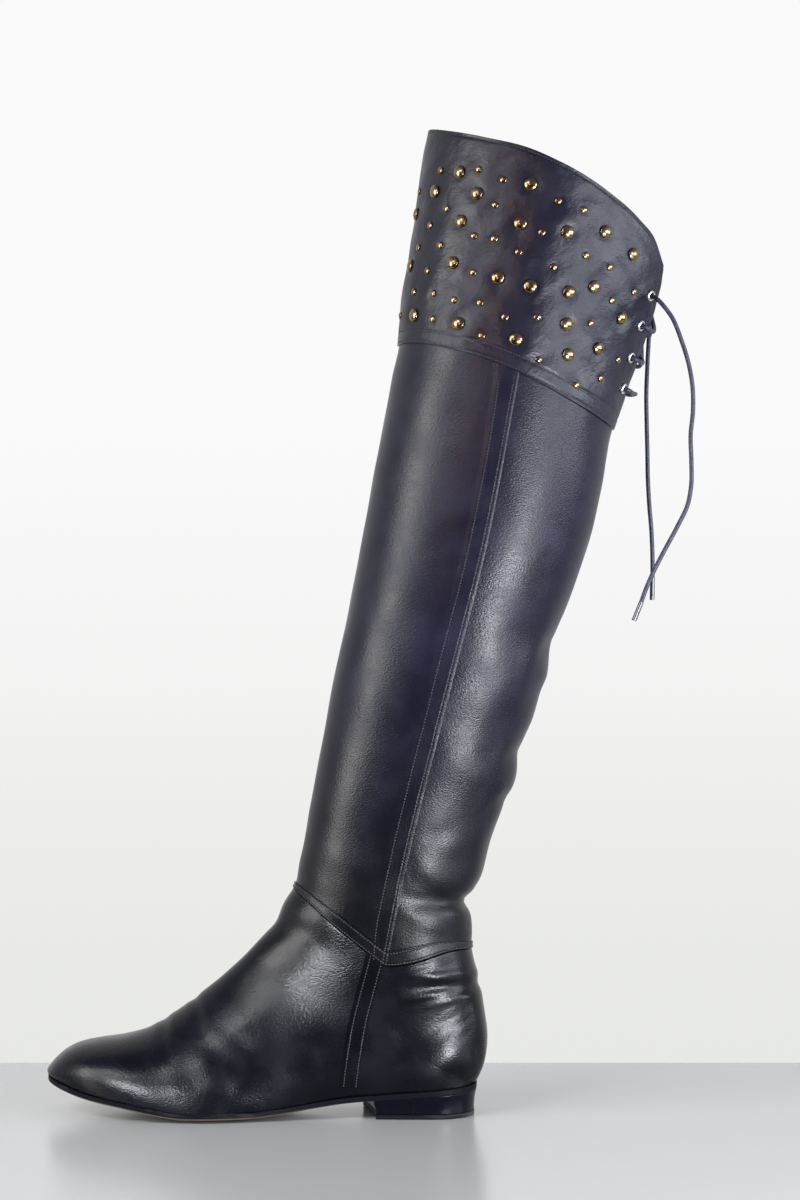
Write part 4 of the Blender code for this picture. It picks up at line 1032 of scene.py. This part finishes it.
STUDS = [
    # x, z seen from the side, and whether the inner side of the leg has one too
    (21.7, 544.9, True),
    (7.7, 535.6, True),
    (31.3, 531.7, False),
    (61.2, 535.7, True),
    (-2.6, 525.3, False),
    (22.0, 516.5, False),
    (55.5, 513.6, True),
    (81.7, 508.7, False),
    (103.9, 510.0, True),
    (120.2, 498.6, True),
    (-6.0, 494.3, False),
    (17.8, 492.7, False),
    (42.8, 483.1, True),
    (60.9, 477.9, False),
    (82.8, 475.2, True),
    (97.5, 478.8, False),
    (-4.3, 464.4, False),
    (20.6, 457.7, True),
    (52.8, 448.0, True),
    (81.4, 457.1, False),
    (114.0, 462.4, True),
    (100.2, 444.5, True),
    (82.3, 440.0, False),
]
SMALL_STUDS = [
    # x, z seen from the side
    (11.4, 547.2), (32.4, 545.5), (46.0, 538.7), (-0.5, 538.2), (76.7, 526.2), (90.9, 521.7),
    (14.2, 524.5), (41.4, 524.5), (5.1, 516.0), (29.5, 507.5), (40.9, 505.2), (67.5, 508.4),
    (-1.6, 504.1), (10.8, 503.5), (54.5, 497.3), (92.3, 496.1), (106.4, 490.3), (73.8, 488.8),
    (3.4, 489.4), (29.0, 486.5), (-3.9, 478.0), (6.8, 475.8), (18.2, 471.2), (32.9, 469.0),
    (107.9, 471.8), (121.2, 477.6), (-11.6, 465.9), (6.0, 461.0), (46.8, 460.5), (64.7, 460.5),
    (95.4, 458.2), (33.8, 450.3), (65.5, 436.6), (87.4, 423.0), (101.6, 427.6), (112.4, 438.9),
]
STUD_DENT = 0.14
STUD_DENT_REACH = 1.5
large_outer = np.array([(x, z) for x, z, both in STUDS]).T
large_inner = np.array([(x, z) for x, z, both in STUDS if both]).T
small_places = np.array(SMALL_STUDS).T
large_spots = np.hstack([on_side(*large_outer, -1.0, CUFF_ROWS), on_side(*large_inner, 1.0, CUFF_ROWS)])
small_spots = np.hstack([on_side(*small_places, side, CUFF_ROWS) for side in (-1.0, 1.0)])
stud_centres = np.concatenate([skin(*large_spots), skin(*small_spots)])
stud_radii = STUD_RADIUS * np.repeat([1.0, SMALL_SHARE], [large_spots.shape[1], small_spots.shape[1]])
CUFF_SLACK = [
    # waves to the metre along x, y and z, start, height
    (38.0, 10.0, 22.0, 0.4, 0.12),
    (-25.0, 18.0, 41.0, 1.9, 0.11),
    (52.0, -20.0, -15.0, 3.3, 0.09),
    (14.0, 30.0, -58.0, 5.0, 0.08),
    (61.0, 12.0, 47.0, 2.2, 0.07),
]
rim_line = smooth_curve([turn for turn, rise in RIM_LINE], [[rise] for turn, rise in RIM_LINE])


def rim_row(turn):
    """Row of the cuff's rim."""
    return RIM + rim_line(np.abs(turn))[..., 0]


def cuff_row(share, turn):
    """Row at a share of the way from the cuff's lower edge to its rim."""
    low = cuff_seam(turn)
    return low + (rim_row(turn) - low) * share


def cuff_lift(row, turn):
    """How far the cuff stands off the skin: its lap, its waves, and the dents of studs and stitches."""
    place = skin(row, turn)
    low, high = cuff_seam(turn), rim_row(turn)
    calm = ease(*CALM_AT_SEAM, row - low) * ease(*CALM_AT_RIM, high - row)
    waves = np.zeros(place.shape[:-1])
    for along_x, along_y, along_z, start, tall in CUFF_SLACK:
        phase = along_x * place[..., 0] + along_y * place[..., 1] + along_z * place[..., 2]
        waves += tall * np.sin(phase * 2 * np.pi * MM + start)
    for centre, radius in zip(stud_centres, stud_radii):
        far = np.linalg.norm(place - centre, axis=-1) / radius
        waves -= STUD_DENT * radius * np.exp(-(far / STUD_DENT_REACH) ** 4)
    share = (row - low) / (high - low)
    sunk = sum(CUFF_GROOVE_DEEP * np.exp(-((share - line) / CUFF_GROOVE_WIDTH) ** 2)
               for line in CUFF_STITCHES)
    return CUFF_LAP + waves * calm - sunk


def on_cuff(row, turn):
    """Places on the cuff's outside, and which way is out."""
    return dressed(row, turn, cuff_lift(row, turn))


cuff_black = leather_finish("cuff_leather", NAVY, pale=(0.0065, 0.0063, 0.0155), roughness=0.38, gloss=0.27,
                            grain=760.0, grain_depth=0.05, dimple_depth=0.9)
cuff_turns = both_sides(np.concatenate([np.linspace(0.0, 0.9, 116), np.linspace(0.91, 1.0, 14)]))
cuff_shares = np.concatenate([np.linspace(0.0, 0.03, 7), np.linspace(0.045, 0.105, 12),
                              np.linspace(0.12, 0.96, CUFF_COUNT), np.linspace(0.97, 1.0, 7)])
cuff_rows = cuff_row(cuff_shares[:, None], cuff_turns)
cuff_grid = np.broadcast_to(cuff_turns, cuff_rows.shape)
cuff_form = leather_shell(cuff_rows, cuff_grid, cuff_lift(cuff_rows, cuff_grid))
eyelet_frames = []
for side in (-1.0, 1.0):
    for x, z in EYELETS:
        row, turn = on_side(x, z, side, CUFF_ROWS)
        place, outward = on_cuff(row, turn)
        behind = skin(row, turn + side * 1e-3) - skin(row, turn)
        eyelet_frames.append((place, outward, behind / np.linalg.norm(behind)))
for place, outward, behind in eyelet_frames:
    centre, axis = Vector(place) * MM, Vector(outward)
    bored = [face for face in cuff_form.faces
             if (face.calc_center_median() - centre).cross(axis).length < EYELET_BORE * MM
             and (face.calc_center_median() - centre).length < 2 * EYELET_BORE * MM]
    rim_verts = {vert for face in bored for vert in face.verts}
    bmesh.ops.delete(cuff_form, geom=bored, context="FACES")
    for vert in [vert for vert in rim_verts if vert.is_valid]:
        away = vert.co - centre
        level = axis * away.dot(axis)
        vert.co = centre + level + (away - level).normalized() * EYELET_BORE * MM
cuff = add_piece("top_cuff", cuff_form, [cuff_black, lining], ("cuff",), LEATHER_SHARP)
thicken(cuff, CUFF_WALL, CUFF_EDGE_ROUND)

cuff_stitches = []
cuff_around = np.linspace(-CUFF_STITCH_ENDS, CUFF_STITCH_ENDS, CUFF_STITCH_STEPS)
for share in CUFF_STITCHES:
    cuff_stitches.append(on_cuff(cuff_row(share, cuff_around), cuff_around))
for side in (-1.0, 1.0):
    slit_shares = np.linspace(*SLIT_STITCHES, SLIT_STITCH_STEPS)
    slit_rows = cuff_row(slit_shares, side * SLIT_TURN)
    slit_turns = side * turn_of(slit_rows, CUFF_STITCH_ENDS, -SLIT_MARGIN)
    cuff_stitches.append(on_cuff(slit_rows, slit_turns))
stitch_rows("cuff_stitches", cuff_stitches, thread)

# Studs: domed caps of antique brass in two sizes, pressed through the cuff by hand in no strict order,
# the large ones and the small ones between them.
STUD_HEIGHT = 2.3
STUD_SLOPE = math.radians(34.0)
STUD_FOOT = 0.5
STUD_FOOT_SHARE = 0.97
STUD_EDGE = 0.12
STUD_EDGE_SHARE = 0.95
STUD_RINGS = 7
STUD_WELD = 1e-4
BRASS = (0.22, 0.155, 0.078)
TARNISHED = (0.09, 0.055, 0.03)
stud_nodes = sorted(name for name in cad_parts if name.startswith("stud_"))


def studs(name, rows, turns, radius, height, steps, nodes=()):
    """Domed studs on the cuff, as one joined mesh."""
    one = bmesh.new()
    bend = radius / math.sin(STUD_SLOPE)
    crown = height - bend * (1 - math.cos(STUD_SLOPE))
    profile = [(radius * STUD_FOOT_SHARE, -STUD_FOOT), (radius, 0.0), (radius, crown - STUD_EDGE)]
    profile += [(bend * math.sin(slope), height - bend * (1 - math.cos(slope)))
                for slope in np.linspace(STUD_EDGE_SHARE * STUD_SLOPE, 0.0, STUD_RINGS)]
    points = [one.verts.new(Vector((r, 0.0, z))) for r, z in profile]
    lines = [one.edges.new(pair) for pair in zip(points, points[1:])]
    bmesh.ops.spin(one, geom=points + lines, axis=(0, 0, 1), cent=(0, 0, 0), angle=2 * math.pi,
                   steps=steps, use_merge=True)
    bmesh.ops.remove_doubles(one, verts=one.verts[:], dist=STUD_WELD)
    bmesh.ops.recalc_face_normals(one, faces=one.faces[:])
    shape, corners = shape_of(one)
    shapes = []
    for place, outward in zip(*on_cuff(rows, turns)):
        facing = np.array(Vector(outward).to_track_quat("Z", "Y").to_matrix())
        shapes.append(place + shape @ facing.T)
    return joined(name, shapes, corners, [brass], nodes)


brass, tree, shader = new_material("stud_brass", BRASS, roughness=0.44, metallic=1.0)
tarnish = spread(tree, noise(tree, scale=420.0, detail=4.0), 0.45, 0.75)
tree.links.new(blend(tree, tarnish, BRASS, TARNISHED), shader.inputs["Base Color"])
rubbed = spread(tree, noise(tree, scale=500.0, detail=3.0), 0.3, 0.7, start=0.16, stop=0.3)
tree.links.new(rubbed, shader.inputs["Roughness"])
studs("large_studs", *large_spots, STUD_RADIUS, STUD_HEIGHT, steps=28, nodes=stud_nodes)
studs("small_studs", *small_spots, STUD_RADIUS * SMALL_SHARE, STUD_HEIGHT * SMALL_SHARE, steps=18)

# Eyelets: four nickel rings on each side of the slit, each a tube through the cuff that is rolled
# over on the outside.
EYELET_HOLE = 1.9
EYELET_FLANGE = 3.2
EYELET_TOP = 1.25
EYELET_FOOT = -CUFF_WALL - 0.2
EYELET_TUBE = 2.3
EYELET_STEPS = 28
EYELET_PROFILE = [
    # radius, height
    (EYELET_HOLE, EYELET_FOOT),
    (EYELET_HOLE, 0.7),
    (EYELET_HOLE + 0.12, 1.05),
    (EYELET_HOLE + 0.4, EYELET_TOP),
    (EYELET_HOLE + 0.75, 1.15),
    (EYELET_FLANGE - 0.15, 0.75),
    (EYELET_FLANGE, 0.4),
    (EYELET_FLANGE - 0.1, -0.05),
    (EYELET_TUBE + 0.2, -0.2),
    (EYELET_TUBE, -0.4),
    (EYELET_TUBE, EYELET_FOOT),
]
nickel, tree, shader = new_material("eyelet_nickel", (0.66, 0.65, 0.62), roughness=0.25, metallic=1.0)
handled = spread(tree, noise(tree, scale=600.0, detail=3.0), 0.3, 0.7, start=0.18, stop=0.4)
tree.links.new(handled, shader.inputs["Roughness"])
eyelet_form = bmesh.new()
for place, outward, behind in eyelet_frames:
    ring = bmesh.new()
    points = [ring.verts.new(Vector((r, 0.0, z))) for r, z in EYELET_PROFILE]
    lines = [ring.edges.new(pair) for pair in zip(points, points[1:] + points[:1])]
    bmesh.ops.spin(ring, geom=points + lines, axis=(0, 0, 1), cent=(0, 0, 0), angle=2 * math.pi,
                   steps=EYELET_STEPS, use_merge=True)
    bmesh.ops.recalc_face_normals(ring, faces=ring.faces[:])
    facing = Vector(outward).to_track_quat("Z", "Y").to_matrix().to_4x4()
    bmesh.ops.transform(ring, matrix=Matrix.Scale(MM, 4) @ Matrix.Translation(Vector(place)) @ facing,
                        verts=ring.verts[:])
    made = bpy.data.meshes.new("eyelet")
    ring.to_mesh(made)
    ring.free()
    eyelet_form.from_mesh(made)
    bpy.data.meshes.remove(made)
eyelet_nodes = sorted(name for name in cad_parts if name.startswith("eyelet_"))
add_piece("eyelets", eyelet_form, [nickel], eyelet_nodes, sharp=50.0)

# Lace: a round waxed cord, dark indigo. It lies across the foot of the slit as a bar, crosses inside,
# then crosses twice over the slit, over its own edge and under the far one, and its two ends hang
# free from the top eyelets, each with a metal tip.
LACE_DIAMETER = 2.6
EDGE_RUN = 9.5
INNER_RUN = 6.5
INNER_DROP = 1.6
LACE_SLACK = 2.0
LACE_CLEAR = 0.1
LACE_CLEAR_INSIDE = 0.4
LACE_BEHIND_HOLE = 0.8
LACE_IN_HOLE = 0.5
LACE_STUB = 2.0
LACE_ASIDE = 0.55 * LACE_DIAMETER
LACE_SPACING = 0.7
FREE_SPACING = 1.6
FREE_START = 1.4
AGLET_LAP = 0.6
LACE_END_OUTER = [
    # x, y, z
    (135.6, -28.2, 473.4),
    (143.5, -29.5, 463.4),
    (149.4, -28.6, 449.5),
    (153.6, -27.4, 436.3),
    (156.0, -26.6, 422.0),
    (156.2, -26.0, 409.0),
    (154.9, -26.0, 395.3),
    (155.3, -26.0, 380.0),
    (155.2, -26.0, 366.5),
    (153.0, -26.0, 354.6),
    (147.5, -26.0, 343.0),
    (139.6, -26.0, 328.3),
    (133.1, -26.0, 315.6),
    (128.7, -26.0, 305.4),
    (126.2, -26.0, 298.3),
]
AGLET_OUTER_TIP = (122.1, -26.0, 288.0)
LACE_END_INNER = [
    # x, y, z
    (134.4, 27.0, 475.2),
    (136.4, 29.0, 471.2),
    (136.6, 29.0, 465.5),
    (135.4, 28.2, 458.0),
    (134.6, 27.0, 448.0),
    (134.0, 26.0, 437.0),
    (133.4, 25.0, 422.8),
    (133.6, 25.0, 406.2),
    (134.0, 25.0, 389.6),
    (134.3, 25.0, 372.4),
    (135.2, 25.0, 355.8),
    (136.4, 25.0, 341.5),
    (137.0, 25.0, 327.9),
    (137.1, 25.0, 312.5),
]
AGLET_INNER_TIP = (136.8, 25.0, 300.0)
AGLET_DIAMETER = 2.9


def cord_points(route, spacing):
    """Points along a smooth curve through a route, about so far apart."""
    route = np.array([tuple(point) for point in route], float)
    lengths = np.concatenate([[0.0], np.cumsum(np.linalg.norm(np.diff(route, axis=0), axis=-1))])
    count = max(4, round(lengths[-1] / spacing))
    return smooth_curve(lengths, route)(np.linspace(0.0, lengths[-1], count + 1))


def cord_piece(name, lines, diameter, material, nodes):
    """Round cord along lines of points."""
    data = bpy.data.curves.new(name, "CURVE")
    data.dimensions = "3D"
    data.bevel_depth = diameter / 2 * MM
    data.bevel_resolution = 4
    data.use_fill_caps = True
    data.materials.append(material)
    for line in lines:
        spline = data.splines.new("POLY")
        spline.points.add(len(line) - 1)
        spline.use_smooth = True
        for point, place in zip(spline.points, line):
            point.co = (*(place * MM), 1.0)
    piece = bpy.data.objects.new(name, data)
    bpy.context.collection.objects.link(piece)
    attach(piece, "root")
    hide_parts(*nodes)
    return piece


indigo, tree, shader = new_material("lace_cord", (0.01, 0.01, 0.03), roughness=0.5)
waxed = spread(tree, noise(tree, scale=300.0, detail=3.0), 0.35, 0.7)
cord_shade = blend(tree, waxed, (0.007, 0.007, 0.022), (0.018, 0.018, 0.045))
tree.links.new(cord_shade, shader.inputs["Base Color"])
bump(tree, shader, noise(tree, scale=1500.0, stretch=(1.0, 1.0, 2.0)), distance=0.25, strength=0.6)

lace_out = EYELET_TOP + LACE_DIAMETER / 2 + LACE_CLEAR
lace_in = CUFF_WALL + LACE_DIAMETER / 2 + LACE_CLEAR_INSIDE
mirror = np.array([1.0, -1.0, 1.0])
outside, through, inside, outer_edge, inner_edge = [], [], [], [], []
for place, outward, behind in eyelet_frames[:len(EYELETS)]:
    outside.append(place + outward * lace_out + behind * LACE_BEHIND_HOLE)
    through.append(place - outward * LACE_IN_HOLE)
    inside.append(place - outward * lace_in)
    outer_edge.append(place + behind * EDGE_RUN + outward * lace_out)
    inner_edge.append(place + behind * INNER_RUN - outward * (lace_in + INNER_DROP))
top_outer, top_inner = eyelet_frames[0], eyelet_frames[len(EYELETS)]
strands = []
for shift in (LACE_ASIDE, -LACE_ASIDE):
    aside = np.array([shift, 0.0, 0.0])

    def midway(a, b, slack):
        """Where the strand crosses the middle of the slit."""
        return ((a + b) / 2) * (1.0, 0.0, 1.0) + aside + np.array([slack, 0.0, 0.0])

    bar_middle = outer_edge[3] * (1.0, 0.0, 1.0) + np.array([LACE_SLACK, 0.0, 0.0])
    route = [
        bar_middle, outer_edge[3], outside[3], through[3], inside[3],
        midway(inside[3], inside[2], -LACE_SLACK),
        inside[2] * mirror, through[2] * mirror, outside[2] * mirror, outer_edge[2] * mirror,
        midway(outer_edge[2], inner_edge[1], 0.0),
        inner_edge[1], inside[1], through[1], outside[1], outer_edge[1],
        midway(outer_edge[1], inner_edge[0], 0.0),
        inner_edge[0] * mirror, inside[0] * mirror, through[0] * mirror,
        through[0] * mirror + top_inner[1] * LACE_STUB,
    ]
    line = cord_points(route, LACE_SPACING)
    strands.append(line if shift > 0 else line * mirror)
crossings = ("lace_cross_top", "lace_cross_middle", "lace_cross_inside", "lace_bar")
cord_piece("laced_cord", strands, LACE_DIAMETER, indigo, crossings)

tip_metal = new_material("lace_tip_metal", (0.10, 0.10, 0.11), roughness=0.35, metallic=1.0)[0]
free_ends = (
    ("outer", LACE_END_OUTER, AGLET_OUTER_TIP, top_outer),
    ("inner", LACE_END_INNER, AGLET_INNER_TIP, top_inner),
)
for side_name, route, tip, (place, outward, behind) in free_ends:
    start = place + outward * FREE_START
    line = cord_points([start, *route], FREE_SPACING)
    end = cord_piece(f"lace_free_{side_name}", [line], LACE_DIAMETER, indigo,
                     (f"lace_end_{side_name}",))
    run = (np.array(tip) - line[-1]) / np.linalg.norm(np.array(tip) - line[-1])
    sheath = np.array([line[-1] - run * AGLET_LAP, np.array(tip)])
    aglet = cord_piece(f"lace_tip_{side_name}", [sheath], AGLET_DIAMETER, tip_metal,
                       (f"aglet_{side_name}",))

# Studio: a pale, polished table top that ends behind the boot, a white wall, and soft boxes at both sides
# and low at the heel. One more box is flagged so that it reaches the foot alone and gives the toe its
# shine, and a narrow warm lamp puts a brown glow on the cuff. Sizes here are in metres.
TABLE = (-1.3, -0.36, 1.3, 0.19)
TABLE_THICK = 0.03
TABLE_GAP = 0.0002
LEG_MIDDLE = (0.0, 0.0, 0.25)
LIGHTS = [
    # name, place, aim, width, height, watts, colour, beam in degrees
    ("left_box", (-1.2, -0.58, 0.5), LEG_MIDDLE, 0.46, 0.8, 18.0, (1.0, 0.99, 0.96), 180.0),
    ("right_box", (1.2, -0.62, 0.42), LEG_MIDDLE, 1.2, 0.4, 21.0, (0.87, 0.9, 1.0), 180.0),
    ("high_left", (-0.8, -1.0, 0.95), (-0.1, 0.0, 0.08), 0.5, 0.35, 1.15, (0.96, 0.98, 1.0), 50.0),
    ("toe_light", (-0.62, -1.02, 0.2), (-0.165, 0.0, 0.02), 0.36, 0.18, 20.0, (0.93, 0.96, 1.0), 180.0),
    ("heel_light", (0.5, -0.75, 0.06), (0.0, 0.0, 0.04), 0.28, 0.12, 14.0, (0.92, 0.94, 1.0), 180.0),
    ("warm_lamp", (-0.53, -1.22, 0.53), (0.045, 0.0, 0.5), 0.13, 0.3, 0.022, (1.0, 0.45, 0.08), 12.0),
]
ROOM_LEVEL = (0.2, 0.205, 0.36)
ROOM_ABOVE = (0.27, 0.28, 0.42)
ROOM_ENDS = (0.8, 0.81, 0.92)
ROOM_BELOW = (0.008, 0.008, 0.012)
ROOM_BEHIND = (0.9, 0.9, 0.91)
# Colours of the wall the camera sees, a glowing backdrop made darker low down by painted shade.
WALL_LOW = (0.80, 0.81, 0.79)
WALL_HIGH = (0.955, 0.955, 0.955)
low_x, low_y, high_x, high_y = TABLE
table_form = bmesh.new()
bmesh.ops.create_cube(table_form, size=1.0)
bmesh.ops.scale(table_form, vec=(high_x - low_x, high_y - low_y, TABLE_THICK), verts=table_form.verts[:])
table_middle = ((low_x + high_x) / 2, (low_y + high_y) / 2, -TABLE_THICK / 2 - TABLE_GAP)
bmesh.ops.translate(table_form, vec=table_middle, verts=table_form.verts[:])
table_mesh = bpy.data.meshes.new("table_top")
table_form.to_mesh(table_mesh)
table_form.free()
table_white = new_material("table_top", (0.37, 0.37, 0.35), roughness=0.22)[0]
table_mesh.materials.append(table_white)
table = bpy.data.objects.new("table_top", table_mesh)
bpy.context.collection.objects.link(table)


def soft_light(name, place, aim, width, height, power, colour, beam):
    """Soft box that shines from a place towards another."""
    data = bpy.data.lights.new(name, "AREA")
    data.shape = "RECTANGLE"
    data.size = width
    data.size_y = height
    data.energy = power
    data.color = colour
    data.spread = math.radians(beam)
    lamp = bpy.data.objects.new(name, data)
    bpy.context.collection.objects.link(lamp)
    lamp.location = place
    lamp.rotation_euler = (Vector(aim) - Vector(place)).to_track_quat("-Z", "Y").to_euler()
    lamp.visible_camera = False
    return lamp


lamps = {row[0]: soft_light(*row) for row in LIGHTS}
flagged = bpy.data.collections.new("lit_by_toe_light")
flagged.objects.link(upper)
lamps["toe_light"].light_linking.receiver_collection = flagged

world = bpy.data.worlds.new("white_room")
bpy.context.scene.world = world
world.use_nodes = True
tree = world.node_tree
direction = tree.nodes.new("ShaderNodeTexCoord")
axes = tree.nodes.new("ShaderNodeSeparateXYZ")
tree.links.new(direction.outputs["Generated"], axes.inputs["Vector"])
room = blend(tree, spread(tree, axes.outputs["Z"], 0.02, 0.35), ROOM_LEVEL, ROOM_ABOVE)
ends = tree.nodes.new("ShaderNodeMath")
ends.operation = "ABSOLUTE"
tree.links.new(axes.outputs["X"], ends.inputs[0])
room = blend(tree, spread(tree, ends.outputs["Value"], 0.55, 0.95), room, ROOM_ENDS)
room = blend(tree, spread(tree, axes.outputs["Z"], -0.18, -0.02), ROOM_BELOW, room)
room = blend(tree, spread(tree, axes.outputs["Y"], 0.05, 0.4), room, ROOM_BEHIND)
lighting = tree.nodes["Background"]
tree.links.new(room, lighting.inputs["Color"])
# The wall seen by the camera glows as a backdrop, with painted shade making it darker towards the table.
shaded = blend(tree, spread(tree, axes.outputs["Z"], -0.16, 0.08), WALL_LOW, WALL_HIGH)
wall = tree.nodes.new("ShaderNodeBackground")
tree.links.new(shaded, wall.inputs["Color"])
seen = tree.nodes.new("ShaderNodeLightPath")
either = tree.nodes.new("ShaderNodeMixShader")
tree.links.new(seen.outputs["Is Camera Ray"], either.inputs["Fac"])
tree.links.new(lighting.outputs["Background"], either.inputs[1])
tree.links.new(wall.outputs["Background"], either.inputs[2])
tree.links.new(either.outputs["Shader"], tree.nodes["World Output"].inputs["Surface"])
bpy.context.scene.view_settings.view_transform = "Standard"

# Camera: a long lens at half the boot's height, level and square to its outer side, far enough off that
# the boot fills the frame as in the photo. Everything is in focus.
LENS_LENGTH = 91.1
SENSOR_WIDTH = 36.0
CAMERA_PLACE = (-0.013, -1.78, 0.30)
lens = bpy.data.cameras.new("camera")
lens.sensor_width = SENSOR_WIDTH
lens.lens = LENS_LENGTH
camera = bpy.data.objects.new("camera", lens)
camera.location = CAMERA_PLACE
camera.rotation_euler = (math.pi / 2, 0.0, 0.0)
bpy.context.collection.objects.link(camera)
bpy.context.scene.camera = camera
